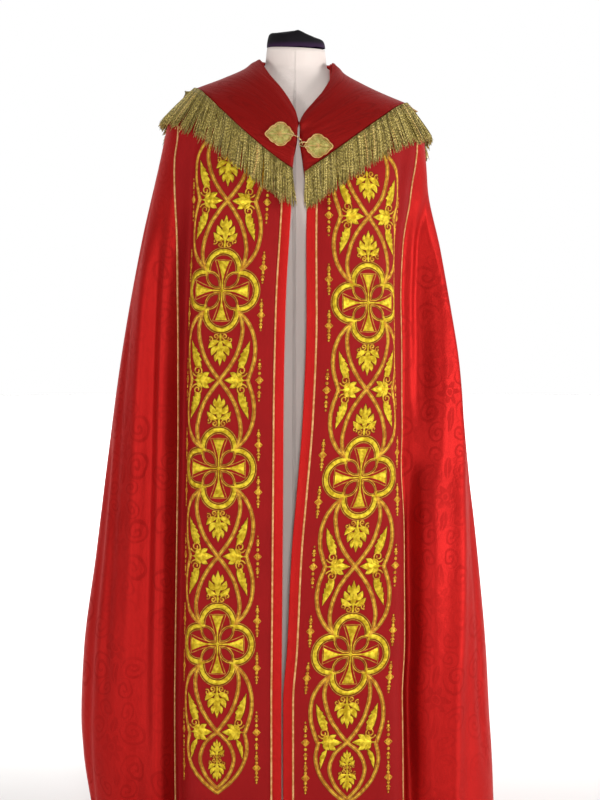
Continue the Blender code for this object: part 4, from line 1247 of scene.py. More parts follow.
# The wing beside a crossing: its midline from the scroll to its tip, as (across, up).
WING = ((0.0465, 0.0240), (0.0490, 0.0340), (0.0530, 0.0450), (0.0585, 0.0590), (0.0645, 0.0760))
WING_TEETH = 5
WING_PLAIN, WING_TOOTHED = 0.0086, 0.0112
SCROLL_RADIUS = 0.0125
SCROLL_CENTRE = (0.0485, HALF - 0.0185)
SCROLL_START, SCROLL_TURN = 20, 560     # degrees


def half_crossing(needle, hand):
    """A scroll and a serrated wing beside the outer strand, above the crossing."""
    line = through([(hand * a, HALF - d) for a, d in WING], 44)
    t = np.linspace(0.0, 1.0, 44)
    body = np.sin((0.12 + 0.88 * t)**0.75 * math.pi)
    teeth = 0.60 + 0.40 * (1 - (t * WING_TEETH) % 1.0)
    plain = np.maximum(WING_PLAIN * body, 0.0005)
    toothed = np.maximum(WING_TOOTHED * body * teeth, 0.0006)
    if hand * needle.flip_down < 0:
        plain, toothed = toothed, plain
    needle.edged(line, toothed, skew=plain)
    needle.stroke(line[3:-6], 0.0005, SHADE, RIB_HEIGHT)
    turn = np.linspace(0.0, 1.0, 40)
    angle = np.radians(SCROLL_START + SCROLL_TURN * turn)
    radius = SCROLL_RADIUS * (1 - 0.80 * turn**0.8)
    across = hand * (SCROLL_CENTRE[0] + radius * np.cos(angle))
    scroll = np.stack([across, SCROLL_CENTRE[1] + radius * np.sin(angle)], axis=1)
    needle.edged(scroll, 0.0016, AMBER, 0.0013)


def strands(needle, hand):
    """The two strands from a medallion to the crossing below it, on one side."""
    for table in (INNER_STRAND, OUTER_STRAND):
        needle.corded(through([(hand * a, d) for a, d in table], 32), 0.0024, 0.0, AMBER)


# Beads on each side of a finial's middle: distance from it and radius.
BEADS = ((0.0100, 0.0034), (0.0168, 0.0026), (0.0232, 0.0032), (0.0292, 0.0020))
MIDDLE_BEAD = 0.0052


def finial(needle, across, down, size):
    """A bead between two strings of smaller ones, with curls beside them."""
    spots = [(0.0, MIDDLE_BEAD)] + [(way * place, radius) for place, radius in BEADS for way in (-1, 1)]
    for place, radius in spots:
        t = np.linspace(-1.0, 1.0, 9)
        line = np.stack([np.full(9, across), down + place * size + radius * t], axis=1)
        needle.edged(line, radius * np.sqrt(np.maximum(1 - t * t, 0.02)), AMBER, 0.0013)
    for hand in (-1, 1):
        for way in (-1, 1):
            centre = (across + hand * 0.0026, down + way * 0.0190 * size)
            needle.stroke(spiral_line(centre, 0.0032, 90, hand * 0.8, 10), 0.0009, AMBER)
        side = ((across, down - 0.007), (across + hand * 0.0078, down), (across, down + 0.007))
        needle.stroke(side, 0.0012, AMBER, 0.0010)


FINIAL_REACH = 0.0870
FINIAL_DOWN = 0.0460


def embroider(side, surface):
    """The whole design of one orphrey, from under the hood down to the hem."""
    needle = Needle(side, surface)
    for number in range(-1, MEDALLIONS):
        needle.level = MEDALLION_LEVELS[side] - number * REPEAT
        shown = number >= 0
        if shown:
            medallion(needle)
            for down in (-FINIAL_DOWN, FINIAL_DOWN):
                for hand in (-1, 1):
                    finial(needle, hand * FINIAL_REACH, down, 1.0)
        for way in (1.0, -1.0):
            needle.flip_down = way
            if way < 0 and not shown:
                continue
            for hand in (-1, 1):
                strands(needle, hand)
                half_crossing(needle, hand)
                if way > 0:
                    crossing_leaf(needle, hand)
                    finial(needle, hand * FINIAL_REACH, HALF, 1.35)
            palmette(needle, 0.0870)
        needle.flip_down = 1.0
    close_design(needle)
    return needle


END_STRAND = ((0.0, HALF), (0.0260, HALF + 0.022), (0.0370, HALF + 0.052), (0.0260, HALF + 0.084),
              (0.0, HALF + 0.112))
END_WING = ((0.0600, HALF), (0.0660, HALF + 0.030), (0.0560, HALF + 0.066), (0.0300, HALF + 0.098),
            (0.0, HALF + 0.120))
END_LEAF = ((0.0420, 0.0120), (0.0520, 0.030), (0.0560, 0.052))


def close_design(needle):
    """Below the lowest crossing the strands close on two palmettes set back to back."""
    for hand in (-1, 1):
        for table in (END_STRAND, END_WING):
            needle.corded(through([(hand * a, d) for a, d in table], 36), 0.0021, 0.0, AMBER)
        finial(needle, hand * FINIAL_REACH, HALF + 0.070, 1.0)
        needle.leaf([(hand * a, HALF + d) for a, d in END_LEAF], 0.0058, 0.4, teeth=4)
    palmette(needle, HALF + 0.0560, 0.72)
    needle.flip_down = -1.0
    palmette(needle, -(HALF + 0.0500), 0.62)
    needle.flip_down = 1.0


def build_embroidery(surfaces, threads):
    """The stitches of both orphreys; threads has a finish for each of the stroke slots."""
    pieces = {}
    for side, word in SIDES:
        needle = embroider(side, surfaces[side])
        vertices, uvs = np.concatenate(needle.vertices), np.concatenate(needle.uvs)
        name = f"embroidery_{word}"
        piece = new_object(name, vertices, needle.faces, threads, uvs, needle.slots)
        pieces[side] = dress(piece, "gold_thread")
    return pieces


# ---------------------------------------------------------------- the hood
def surface_points(side, angle, level):
    """Points of the unfolded mantle at angles from the front centre."""
    x, y = mantle_outline(side, level, angle)
    return np.stack([side * x, y, leaned(side * x, level)], axis=-1)


def lifted_points(side, angle, level, lift):
    """Points over the unfolded mantle, moved out by lift."""
    turn, drop = 0.01, 0.002
    across = surface_points(side, angle + turn, level) - surface_points(side, angle - turn, level)
    down = surface_points(side, angle, level - drop) - surface_points(side, angle, level + drop)
    normal = unit(np.cross(down, across) * side)
    return surface_points(side, angle, level) + normal * np.asarray(lift)[..., None]


def edge_angle(side, level):
    """The front edge's angle at a level."""
    return half_outline(side, level)[3][0]


HALVINGS = 40


def hood_edge_levels(side, angle, behind, back_length):
    """Levels of the hood's lower edge at angles, found by halving.

    In front the edge is straight in front view, and behind it falls to the centre back. Behind is
    the distance past the shoulder, less than zero in front.
    """
    hood = HOOD_SIDES[side]
    tip = edge_reach(side, hood.tip)
    shoulder = mantle_outline(side, hood.shoulder, np.array([math.pi / 2]))[0][0]
    share = np.maximum(behind, 0.0) / back_length
    whole = math.hypot(1.0, HOOD_BACK_START) - HOOD_BACK_START
    share = np.clip((np.hypot(share, HOOD_BACK_START) - HOOD_BACK_START) / whole, 0.0, 1.0)
    back = HOOD_BACK_LEVEL + (hood.shoulder - HOOD_BACK_LEVEL) * (1 - share) ** HOOD_BACK_POWER
    low = np.full(len(angle), HOOD_BACK_LEVEL - 0.02)
    high = np.full(len(angle), NECK_LEVEL)
    for _ in range(HALVINGS):
        middle = (low + high) / 2
        x = mantle_outline(side, middle, angle)[0]
        ahead = np.maximum((x - tip + np.maximum(behind, 0.0)) / (shoulder - tip), 0.0)
        front = hood.tip + (hood.shoulder - hood.tip) * ahead**hood.bow
        gap = np.abs(front - back) / HOOD_SHOULDER_ROUNDING
        edge = np.minimum(front, back) - HOOD_SHOULDER_ROUNDING * np.log1p(np.exp(-gap))
        below = middle < edge
        low, high = np.where(below, middle, low), np.where(below, high, middle)
    return (low + high) / 2


def hood_side_grid(side):
    """Rows from the neck to the lower edge, columns from the front edge to the centre back."""
    angle = np.linspace(OVERLAP_ANGLE, math.pi, OUTLINE_POINTS)
    arc = arcs_along(*mantle_outline(side, HOOD_SIDES[side].shoulder, angle))
    tip_arc = np.interp(edge_angle(side, HOOD_SIDES[side].tip), angle, arc)
    shoulder_arc = np.interp(math.pi / 2, angle, arc)
    front_length, back_length = shoulder_arc - tip_arc, arc[-1] - shoulder_arc

    front = 1 - np.linspace(1.0, 0.0, HOOD_COLUMNS_FRONT + 1) ** HOOD_COLUMN_POWER
    back = np.linspace(0.0, 1.0, HOOD_COLUMNS_BACK + 1)[1:] ** HOOD_COLUMN_POWER
    behind = np.concatenate([front_length * (front - 1), back_length * back])
    neck_level = np.full(len(behind), NECK_LEVEL)
    neck_level[: len(front)] = HOOD_V_LEVEL + (NECK_LEVEL - HOOD_V_LEVEL) * front**HOOD_NECK_POWER
    neck_angle = np.array([edge_angle(side, level) for level in neck_level[: len(front)]])
    neck_angle = np.concatenate([neck_angle, neck_angle[-1] + (math.pi - neck_angle[-1]) * back])
    low_angle = np.interp(shoulder_arc + behind, arc, angle)
    low_level = hood_edge_levels(side, low_angle, behind, back_length)

    share = (np.linspace(0.0, 1.0, HOOD_ROWS + 1) ** HOOD_ROW_POWER)[:, None]
    lift = HOOD_LIFT_NECK + (HOOD_LIFT_EDGE - HOOD_LIFT_NECK) * share
    lift = lift + (HOOD_LIFT_SEAM - HOOD_LIFT_NECK) * (1 - smooth_step(share / HOOD_SEAM_SHARE))
    angles = neck_angle + (low_angle - neck_angle) * share
    levels = neck_level + (low_level - neck_level) * share
    return lifted_points(side, angles, levels, np.broadcast_to(lift, angles.shape))


def hood_grid():
    """The hood's outer face, from the left front edge round the back to the right front edge."""
    left = hood_side_grid(LEFT)
    right = hood_side_grid(RIGHT)
    grid = np.concatenate([left, right[:, ::-1][:, 1:]], axis=1)
    return grid + outward_normals(grid) * HOOD_WALL


# Soft waves of the hood: where each is in front view or, behind, in back view, how far it reaches
# across and up, its tilt, and how far it stands out, or in where less than zero.
Wave = namedtuple("Wave", "behind x z across up tilt height")
HOOD_WAVES = rows_of(Wave, (
    (False, 0.012, 1.424, 0.010, 0.006, 25.0, 0.0030),
    (False, 0.020, 1.412, 0.016, 0.006, 20.0, -0.0022),
    (False, -0.100, 1.455, 0.060, 0.016, -32.0, -0.0020),
    (False, 0.110, 1.440, 0.060, 0.018, 34.0, -0.0020),
    (False, -0.170, 1.470, 0.030, 0.030, -10.0, 0.0018),
    (True, 0.000, 1.300, 0.022, 0.110, 0.0, 0.0050),
    (True, -0.110, 1.330, 0.020, 0.090, -14.0, -0.0030),
    (True, 0.115, 1.320, 0.022, 0.090, 16.0, -0.0030),
    (True, -0.060, 1.250, 0.018, 0.060, -6.0, 0.0035),
    (True, 0.065, 1.260, 0.018, 0.060, 8.0, 0.0030),
))


def waved(grid, normals):
    """The hood's outer face with its soft waves."""
    out = np.zeros(grid.shape[:2])
    for wave in HOOD_WAVES:
        dx, dz = grid[..., 0] - wave.x, grid[..., 2] - wave.z
        turn = math.radians(wave.tilt)
        along = dx * math.cos(turn) + dz * math.sin(turn)
        across = dz * math.cos(turn) - dx * math.sin(turn)
        here = (grid[..., 1] > 0) == wave.behind
        out += here * wave.height * np.exp(-((along / wave.across) ** 2) - (across / wave.up) ** 2)
    return grid + normals * out[..., None]


def build_hood(damask):
    """The hood, and the grid of its outer face."""
    grid = hood_grid()
    normals = outward_normals(grid)
    grid = waved(grid, normals)
    across = np.linalg.norm(np.diff(grid, axis=1), axis=2)
    across = np.concatenate([np.zeros((len(grid), 1)), np.cumsum(across, axis=1)], axis=1)
    across -= across[:, across.shape[1] // 2][:, None]
    down = np.linalg.norm(np.diff(grid, axis=0), axis=2)
    down = np.concatenate([np.zeros((1, grid.shape[1])), np.cumsum(down, axis=0)], axis=0)
    uvs = np.stack([across + HOOD_FIGURE_SHIFT, -down], axis=2)
    piece = cloth_shell("hood_cloth", grid, normals, HOOD_WALL, damask, uvs)
    return dress(piece, "red_damask", "hood"), grid


# ---------------------------------------------------------------- the fringe
def hanging_tips(roots, length, standoff):
    """Where strands that hang from roots end: straight down, or further out over the mantle."""
    tips = np.zeros_like(roots)
    for side in (LEFT, RIGHT):
        mine = (roots[:, 0] > 0) == (side == RIGHT)
        root, drop, off = roots[mine], length[mine], standoff[mine]
        angle = np.arctan2(np.abs(root[:, 0]), -root[:, 1])
        level = root[:, 2] - drop
        for _ in range(4):
            tip = lifted_points(side, angle, level, off)
            level = level + root[:, 2] - drop - tip[:, 2]
        reach = np.maximum(np.hypot(tip[:, 0], tip[:, 1]), np.hypot(root[:, 0], root[:, 1]))
        tips[mine] = np.stack(
            [side * reach * np.sin(angle), -reach * np.cos(angle), root[:, 2] - drop], axis=1
        )
    return tips


class HoodEdge:
    """The hood's lower edge, read at arcs along it."""

    def __init__(self, grid):
        self.low = grid[-1]
        self.normals = outward_normals(grid)[-1]
        downs = np.cross(np.gradient(self.low, axis=0), self.normals)
        self.downs = unit(downs * np.sign(np.sum(downs * (self.low - grid[-2]), axis=1))[:, None])
        self.arcs = lengths_along(self.low)
        self.length = self.arcs[-1]

    def at(self, arc):
        """Points, normals and down directions."""
        fields = (self.low, self.normals, self.downs)
        return [np.stack([np.interp(arc, self.arcs, f[:, i]) for i in range(3)], axis=1) for f in fields]


STRAND_POINTS = 7
STRAND_RADIUS = 0.00135
STRAND_LAYERS = 3
STRAND_LAYER_STEP = 0.0010
STRANDS_PER_BUNCH = 9
BUNCH_GATHER = 0.35         # how far a strand's tip is drawn to the middle of its bunch
# How much the strands differ: standard deviations, in metres or as a share of the length.
LENGTH_SPREAD = 0.045
BUNCH_LEAN_SPREAD = 0.0028
LEAN_SPREAD = 0.0022
STAND_OUT_SPREAD = 0.0015
BOW_SPREAD = 0.0016


def build_strands(edge, finish):
    """The bullion strands, in bunches that part a little, three deep."""
    chance = np.random.default_rng(11)
    number = np.arange(STRAND_COUNT)
    place = (number + 0.5 + chance.uniform(-0.4, 0.4, STRAND_COUNT)) * edge.length / STRAND_COUNT
    place = np.clip(place, 0.0008, edge.length - 0.0008)
    point, normal, down = edge.at(place)
    layer = number % STRAND_LAYERS
    roots = point + down * (0.0012 + 0.0006 * chance.random(STRAND_COUNT))[:, None]
    roots += normal * (0.0004 + STRAND_LAYER_STEP * layer)[:, None]
    length = (LOCK_LENGTH + HEADER_HEIGHT) * (1 + chance.normal(0, LENGTH_SPREAD, STRAND_COUNT))
    length *= 1 - 0.03 * (layer == STRAND_LAYERS - 1)
    tips = hanging_tips(roots, length, LOCK_STANDOFF + 0.0012 * (layer - 1))

    bunch = number // STRANDS_PER_BUNCH
    bunch_lean = chance.normal(0, BUNCH_LEAN_SPREAD, bunch[-1] + 1)[bunch]
    own_lean = chance.normal(0, LEAN_SPREAD, STRAND_COUNT)
    middle = (bunch + 0.5) * STRANDS_PER_BUNCH * edge.length / STRAND_COUNT
    gather = (middle - place) * BUNCH_GATHER
    outwards = unit(normal * (1, 1, 0))
    sideways = np.stack([-outwards[:, 1], outwards[:, 0], np.zeros(STRAND_COUNT)], axis=1)
    tips += sideways * (bunch_lean + own_lean + gather)[:, None]
    tips += outwards * np.abs(chance.normal(0, STAND_OUT_SPREAD, STRAND_COUNT))[:, None]
    bow = chance.normal(0, BOW_SPREAD, STRAND_COUNT)
    phase = chance.uniform(0, 2 * math.pi, STRAND_COUNT)
    shade = np.clip(chance.beta(2.0, 2.2, STRAND_COUNT), 0, 1)
    size = STRAND_RADIUS * chance.uniform(0.80, 1.15, STRAND_COUNT)

    vertices, uvs = [], []
    for k in range(STRAND_POINTS):
        t = k / (STRAND_POINTS - 1)
        bent = math.sin(math.pi * t)
        centre = roots + (tips - roots) * t
        centre = centre + sideways * (bow * bent)[:, None] + outwards * (0.0012 * bent)
        swell = math.sin(math.pi * min(1.0, 0.25 + 0.75 * t)) ** 0.5
        radius = size * (0.55 + 0.45 * swell if t < 1 else 0.30)
        for corner in range(4):
            angle = phase + corner * math.pi / 2 + 2.2 * t
            off = sideways * np.cos(angle)[:, None] + outwards * np.sin(angle)[:, None]
            vertices.append(centre + off * radius[:, None])
            uvs.append(np.stack([shade, np.full(STRAND_COUNT, t * 0.075)], axis=1))
    vertices = np.array(vertices).transpose(1, 0, 2)
    uvs = np.array(uvs).transpose(1, 0, 2)
    faces = []
    per = 4 * STRAND_POINTS
    tube = grid_faces(STRAND_POINTS, 4, flip=True, closed=True)
    caps = [(0, 1, 2, 3), tuple(per - 4 + i for i in (3, 2, 1, 0))]
    for strand in range(STRAND_COUNT):
        faces.extend(tuple(strand * per + i for i in face) for face in (*tube, *caps))
    piece = new_object("fringe_strands", vertices.reshape(-1, 3), faces, [finish], uvs.reshape(-1, 2))
    return dress(piece, "gold_thread", "fringe")


# Section of the header, as shares of its height and of its wall.
HEADER_PROFILE = ((0.0, -0.9), (0.02, 0.10), (0.16, 0.42), (0.30, 0.12), (0.44, 0.36), (0.60, 0.05),
                  (1.0, 0.0), (1.0, -0.9), (0.0, -0.9))
HEADER_POINTS = 900
HEADER_STITCH = 0.0036
HEADER_WOBBLE = 0.00025


def build_header(edge, finish):
    """The woven header that holds the strands, two fine cords high."""
    place = np.linspace(0.0, edge.length, HEADER_POINTS)
    point, normal, down = edge.at(place)
    wobble = HEADER_WOBBLE * np.sin(place * 2 * math.pi / HEADER_STITCH)[:, None]
    rows, uvs = [], []
    for share, rise in HEADER_PROFILE:
        drop = HEADER_GAP + HEADER_HEIGHT * share
        rows.append(point + down * (drop + wobble) + normal * (rise * HEADER_WALL + wobble))
        uvs.append(np.stack([place, np.full(len(place), 2 * share - 1)], axis=1))
    rows, uvs = np.array(rows), np.array(uvs)
    flip = not faces_look_out(rows[0:3], np.array([normal] * 3))
    faces = grid_faces(len(rows), len(place), flip)
    piece = new_object("fringe_header", rows.reshape(-1, 3), faces, [finish], uvs.reshape(-1, 2))
    return dress(piece, "gold_thread", "fringe")


# ---------------------------------------------------------------- the clasp
def leaf_reach(angle):
    """Radius of the leaf's outline at an angle from its tip."""
    angle = np.array(angle)
    length = np.where(np.cos(angle) > 0, LEAF_TIP, LEAF_STEM)
    along, across = np.abs(np.cos(angle)) / length, np.abs(np.sin(angle)) / LEAF_HALF_HEIGHT
    reach = (along**LEAF_SQUARENESS + across**LEAF_SQUARENESS) ** (-1 / LEAF_SQUARENESS)
    return float(reach - LEAF_SCALLOP_DEPTH * (1 - np.abs(np.cos(angle * LEAF_SCALLOPS / 2))))


def front_y(under, x, z, without=None):
    """y of the hood's outer face behind a point in front view, or another y over the opening."""
    hit = under.ray_cast(Vector((x, -1.0, z)), Vector((0.0, 1.0, 0.0)))[0]
    return hit.y if hit and hit.y < 0 else without


def frame_round(points):
    """Two unit directions square to a line and to each other, at each of its points."""
    along = unit(np.gradient(points, axis=0))
    first = unit(np.cross(along, (0.0, -1.0, 0.15)))
    return first, np.cross(along, first)


def tube(points, radius, corners=8):
    """Vertices, faces and uvs of a closed tube through points."""
    points = np.asarray(points, float)
    first, second = frame_round(points)
    lengths = lengths_along(points)
    radius = np.broadcast_to(radius, len(points))
    vertices, uvs = [], []
    for i, length in enumerate(lengths):
        for corner in range(corners):
            angle = 2 * math.pi * corner / corners
            off = first[i] * math.cos(angle) + second[i] * math.sin(angle)
            vertices.append(points[i] + off * radius[i])
            uvs.append((length, 2 * corner / corners - 1))
    return vertices, closed_faces(len(points), corners), uvs


def join(name, parts, finishes):
    """One mesh of several (vertices, faces, uvs, material slot) parts."""
    vertices, faces, uvs, slots = [], [], [], []
    for part_vertices, part_faces, part_uvs, slot in parts:
        first = len(vertices)
        vertices.extend(part_vertices)
        faces.extend(tuple(first + i for i in face) for face in part_faces)
        uvs.extend(part_uvs)
        slots.extend([slot] * len(part_faces))
    return new_object(name, vertices, faces, finishes, np.array(uvs), slots)


# Shapes of the padded leaf: how high it is, and where its cords and veins lie.
LEAF_RINGS, LEAF_SPOKES = 12, 96
LEAF_PAD = 0.0030
LEAF_LOBE = 0.00035
LEAF_GROOVE, LEAF_GROOVE_WIDTH = 0.0009, 0.10
LEAF_CORDS = ((1.0, 0.0014, 0.00135, 8), (0.86, 0.0022, 0.00060, 6))     # share, lift, radius, corners
LEAF_SPINE = (-0.019, 0.026)
LEAF_VEINS = (26.0, 52.0, 80.0, 112.0, 140.0)


def build_leaf(leaf, under, finishes):
    """A padded leaf of gold thread inside a scalloped cord."""
    turn = math.radians(leaf.turn)

    def at(angle, reach, lift):
        x = leaf.x + reach * math.cos(angle + turn)
        z = leaf.z + reach * math.sin(angle + turn)
        return (x, front_y(under, x, z) - LEAF_GAP - lift, z)

    vertices, uvs = [], []
    for ring in range(LEAF_RINGS + 1):
        share = 1 - ring / LEAF_RINGS * 0.97
        for spoke in range(LEAF_SPOKES):
            angle = 2 * math.pi * spoke / LEAF_SPOKES
            reach = leaf_reach(angle) * share * 0.97
            off_axis = abs(math.sin(angle)) * share
            lobe = LEAF_LOBE * abs(math.cos(angle * LEAF_SCALLOPS / 2)) * share
            groove = LEAF_GROOVE * math.exp(-((off_axis / LEAF_GROOVE_WIDTH) ** 2))
            lift = LEAF_PAD * (1 - share**3.0) ** 0.8 + lobe - groove
            vertices.append(at(angle, reach, lift + 0.0002))
            uvs.append((reach, angle / math.pi - 1))
    faces = grid_faces(LEAF_RINGS + 1, LEAF_SPOKES, closed=True)
    faces.append(tuple(LEAF_RINGS * LEAF_SPOKES + spoke for spoke in range(LEAF_SPOKES)))
    parts = [(vertices, faces, uvs, 0)]

    for share, lift, radius, corners in LEAF_CORDS:
        angles = np.linspace(0, 2 * math.pi, 241)
        cord = [at(angle, leaf_reach(angle) * share, lift) for angle in angles]
        parts.append((*tube(cord, radius, corners), 1))
    spine = [at(0.0 if s > 0 else math.pi, abs(s), 0.0028) for s in np.linspace(*LEAF_SPINE, 24)]
    parts.append((*tube(spine, np.linspace(0.0011, 0.0005, 24), 6), 1))
    for degrees in LEAF_VEINS:
        for hand in (-1, 1):
            angle = hand * math.radians(degrees)
            reach = leaf_reach(angle) * 0.80
            along = np.linspace(0.12, 1.0, 10)
            vein = [at(angle * (0.72 + 0.28 * s), reach * s, 0.0031 - 0.0009 * s) for s in along]
            parts.append((*tube(vein, np.linspace(0.0007, 0.0004, 10), 6), 1))
    piece = join(f"{leaf.name}_thread", parts, finishes)
    return dress(piece, "gold_thread", leaf.name)


WirePoint = namedtuple("WirePoint", "x z lift")
HOOK = rows_of(WirePoint, (
    (-0.0180, 1.4010, 0.0045),
    (-0.0080, 1.3997, 0.0054),
    (0.0000, 1.3972, 0.0080),
    (0.0060, 1.3932, 0.0096),
    (0.0103, 1.3880, 0.0098),
    (0.0120, 1.3838, 0.0097),
    (0.0124, 1.3812, 0.0080),
    (0.0122, 1.3808, 0.0052),
    (0.0118, 1.3822, 0.0033),
))
EYE = rows_of(WirePoint, (
    (0.0270, 1.3850, 0.0046),
    (0.0200, 1.3848, 0.0056),
    (0.0112, 1.3844, 0.0066),
    (0.0082, 1.3829, 0.0066),
    (0.0073, 1.3808, 0.0066),
    (0.0082, 1.3787, 0.0066),
    (0.0112, 1.3772, 0.0066),
    (0.0200, 1.3768, 0.0056),
    (0.0270, 1.3766, 0.0046),
))
WIRE_RADIUS = 0.0011
WIRE_POINTS = 90
WIRE_TURNS = 9


def wire_places(table, under):
    """Places of a wire that stands off the hood by each row's lift. Over the opening it keeps the
    last row's face."""
    places, face = [], None
    for row in table:
        face = front_y(under, row.x, row.z, face)
        places.append((row.x, face - row.lift, row.z))
    return places


def build_wires(under, finish):
    """The hook and the eye, each of two strands twisted together."""
    for name, table in (("clasp_hook", HOOK), ("clasp_eye", EYE)):
        line = through(wire_places(table, under), WIRE_POINTS)
        first, second = frame_round(line)
        turn = np.linspace(0, 2 * math.pi * WIRE_TURNS, WIRE_POINTS)[:, None]
        parts = []
        for start in (0.0, math.pi):
            off = first * np.cos(turn + start) + second * np.sin(turn + start)
            parts.append((*tube(line + off * WIRE_RADIUS * 0.46, WIRE_RADIUS * 0.56, 7), 0))
        dress(join(f"{name}_wire", parts, [finish]), "brass", name)


# ---------------------------------------------------------------- the display form
def shoulder_point(level, distance):
    """(height, reach) of the mantle's shoulder line at a level, moved inwards by a distance."""
    step = 0.001
    levels = np.array([level + step, level, level - step])
    reach = np.minimum(*(smooth_through(MANTLE_SECTIONS, word, levels) for _, word in SIDES))
    slope = (reach[2] - reach[0]) / (2 * step)
    length = math.hypot(slope, 1.0)
    return level - distance * slope / length, float(reach[1]) - distance / length


def form_table():
    """The form's sections from the floor up."""
    made = list(FORM_SECTIONS)
    for level in FORM_SHOULDER_LEVELS:
        height, reach = shoulder_point(level, MANTLE_WALL + FORM_CLEARANCE)
        front = smooth_through(MANTLE_SECTIONS, "front", level) - FORM_SHOULDER_INSET
        back = smooth_through(MANTLE_SECTIONS, "back", level) - FORM_SHOULDER_INSET
        made.append(FormSection(height, reach, float(front), float(back)))
    return made + list(NECK_SECTIONS)


def turned(name, table, heights, finish, slot, node):
    """A closed round body through sections."""
    angle = np.linspace(0, 2 * math.pi, FORM_COLUMNS, endpoint=False)
    half = np.where(angle > math.pi, 2 * math.pi - angle, angle)
    rings, uvs = [], []
    for height in heights:
        side, front, back = (smooth_through(table, column, height) for column in ("side", "front", "back"))
        x, y = oval(half, side, front, back, FORM_SQUARENESS, FORM_SQUARENESS)
        x = np.where(angle > math.pi, -x, x)
        z = leaned(x, height) if height > 0 else np.zeros(len(x))
        rings.append(np.stack([x, y, z], axis=1))
        uvs.append(np.stack([angle * float(side), np.full(len(x), height)], axis=1))
    grid, uvs = np.array(rings), np.array(uvs)
    faces = closed_faces(len(grid), FORM_COLUMNS)
    return dress(new_object(name, grid.reshape(-1, 3), faces, [finish], uvs.reshape(-1, 2)), slot, node)


# How far the soft top of the cap has sunk: x, and the drop there.
CAP_SAG = ((-0.056, -0.040, -0.022, -0.008, 0.004, 0.012, 0.024, 0.040, 0.056),
           (0.004, 0.006, 0.007, 0.004, 0.000, 0.003, 0.009, 0.014, 0.017))


FORM_STEP = 0.012


def build_form(jersey, black):
    """The form under its cover, and the cap on its neck."""
    table = form_table()
    sections = [section.height for section in table]
    between = np.arange(0.02, sections[-1], FORM_STEP)
    heights = np.unique(np.round(np.concatenate([between, sections]), 5))
    turned("display_form_cover", table, heights, jersey, "form_jersey", "display_form")
    heights = np.linspace(CAP_SECTIONS[0].height, CAP_SECTIONS[-1].height, 22)
    cap = turned("neck_cap_top", CAP_SECTIONS, heights, black, "cap_black", "neck_cap")
    low, high = heights[0], heights[-1]
    for vertex in cap.data.vertices:
        share = (vertex.co.z - low) / (high - low)
        vertex.co.z -= float(np.interp(vertex.co.x, *CAP_SAG)) * share**1.5


# ---------------------------------------------------------------- camera, light and floor
CAMERA_PLACE = (0.008, -5.00, 1.20)
CAMERA_TARGET = (0.008, 0.0, 0.8705)
FRAME_HEIGHT = 1.622        # what the frame's height spans at the target's distance
ROOM_LIGHT = 0.08           # the world's strength in front of the cope, which the camera doesn't see
BACKDROP_LIGHT = 1.00       # and behind it


Lamp = namedtuple("Lamp", "name place size power")
LAMPS = rows_of(Lamp, (
    ("right", (4.7, -1.7, 1.5), 1.4, 160.0),
    ("left", (-3.7, -3.3, 1.4), 1.2, 82.0),
    ("front", (0.2, -5.4, 1.6), 0.8, 108.0),
))
LAMP_TARGET = (0.0, 0.0, 0.8)
LAMP_COLOUR = (1.0, 0.98, 0.96)
BACKDROP_PLACE = (0.0, 7.5, 7.0)
BACKDROP_TARGET = (0.0, 7.5, 0.0)
BACKDROP_POWER = 6000.0
BACKDROP_CONE = 96.0        # degrees
FLOOR_RADIUS = 14.0
FLOOR_LEVEL = -0.0005


def aimed(name, data, place, target):
    """A new object at a place, which looks at its target."""
    obj = bpy.data.objects.new(name, data)
    bpy.context.scene.collection.objects.link(obj)
    obj.location = place
    obj.rotation_euler = (Vector(target) - Vector(place)).to_track_quat("-Z", "Y").to_euler()
    return obj


def build_camera():
    """The photograph's view, with the frame's height set by what it spans at the target."""
    camera = bpy.data.cameras.new("camera")
    camera.sensor_fit = "VERTICAL"
    distance = math.dist(CAMERA_PLACE, CAMERA_TARGET)
    camera.lens = camera.sensor_height * distance / FRAME_HEIGHT
    bpy.context.scene.camera = aimed("camera", camera, CAMERA_PLACE, CAMERA_TARGET)


def build_world():
    """White light that is dim in front of the cope and bright behind it and above."""
    world = bpy.data.worlds.new("studio")
    world.use_nodes = True
    tree = world.node_tree
    place = tree.nodes.new("ShaderNodeTexCoord")
    facing = tree.nodes.new("ShaderNodeVectorMath")
    facing.operation = "DOT_PRODUCT"
    facing.inputs[1].default_value = (0.25, 1.0, 0.6)
    bright = tree.nodes.new("ShaderNodeMapRange")
    bright.interpolation_type = "SMOOTHSTEP"
    ranges = {"From Min": 0.0, "From Max": 0.80, "To Min": ROOM_LIGHT, "To Max": BACKDROP_LIGHT}
    for key, value in ranges.items():
        bright.inputs[key].default_value = value
    tree.links.new(place.outputs["Generated"], facing.inputs[0])
    tree.links.new(facing.outputs["Value"], bright.inputs["Value"])
    tree.links.new(bright.outputs["Result"], tree.nodes["Background"].inputs["Strength"])
    tree.nodes["Background"].inputs["Color"].default_value = (1.0, 1.0, 1.0, 1.0)
    bpy.context.scene.world = world


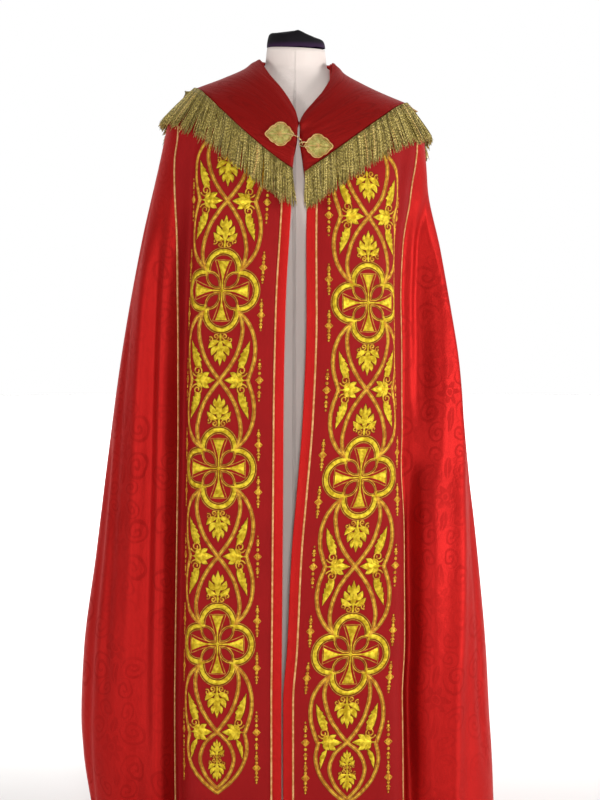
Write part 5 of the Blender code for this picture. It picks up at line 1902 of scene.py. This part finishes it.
def build_lights():
    """Three soft lamps round the cope and a spot on the floor behind it."""
    for row in LAMPS:
        lamp = bpy.data.lights.new(row.name, "AREA")
        lamp.shape = "DISK"
        lamp.size = row.size
        lamp.energy = row.power
        lamp.color = LAMP_COLOUR
        aimed(row.name, lamp, row.place, LAMP_TARGET)
    spot = bpy.data.lights.new("backdrop", "SPOT")
    spot.energy = BACKDROP_POWER
    spot.spot_size = math.radians(BACKDROP_CONE)
    spot.spot_blend = 0.10
    spot.shadow_soft_size = 0.8
    aimed("backdrop", spot, BACKDROP_PLACE, BACKDROP_TARGET)


def build_floor():
    """A wide round floor just under the form's foot."""
    bpy.ops.mesh.primitive_circle_add(
        vertices=96, radius=FLOOR_RADIUS, fill_type="NGON", location=(0, 0, FLOOR_LEVEL)
    )
    floor = bpy.context.object
    floor.name = "floor"
    floor.data.materials.append(floor_finish())


def build_studio():
    bpy.context.scene.view_settings.view_transform = "Standard"
    build_camera()
    build_world()
    build_lights()
    build_floor()


# What each cloth was cut to before it was draped, in metres: the smallest rectangle, and the area.
PanelCut = namedtuple("PanelCut", "word part width length area")
PANEL_CUTS = rows_of(PanelCut, (
    ("left", "front", 0.620, 1.620, 0.800),
    ("right", "front", 0.640, 1.620, 0.745),
    ("left", "back", 0.760, 1.610, 0.780),
    ("right", "back", 0.730, 1.600, 0.735),
))


STITCH_THREADS = ("gold_satin_stitch", "gold_cord", "gold_amber_thread")
LEAF_THREADS = ("gold_leaf_thread", "gold_leaf_cord")


def main():
    stitch_finishes = [*map(thread_finish, STITCH_THREADS), outline_and_shadow_finish()]
    leaf_finishes = [*map(thread_finish, LEAF_THREADS)]
    bullion = bullion_finish()
    panels, surfaces = build_mantle(damask_finish(*MANTLE_DAMASK))
    orphreys, cords = build_orphreys(surfaces, satin_finish(), thread_finish("gold_braid"))
    stitches = build_embroidery(surfaces, stitch_finishes)
    hood, grid = build_hood(damask_finish(*HOOD_DAMASK))
    edge = HoodEdge(grid)
    fringe = [build_header(edge, bullion), build_strands(edge, bullion)]

    under = BVHTree.FromPolygons(grid.reshape(-1, 3).tolist(), grid_faces(*grid.shape[:2]))
    for leaf in CLASP_LEAVES:
        build_leaf(leaf, under, leaf_finishes)
    build_wires(under, brass_finish())
    build_form(jersey_finish(), cap_finish())
    build_studio()

    bpy.context.view_layer.update()


main()
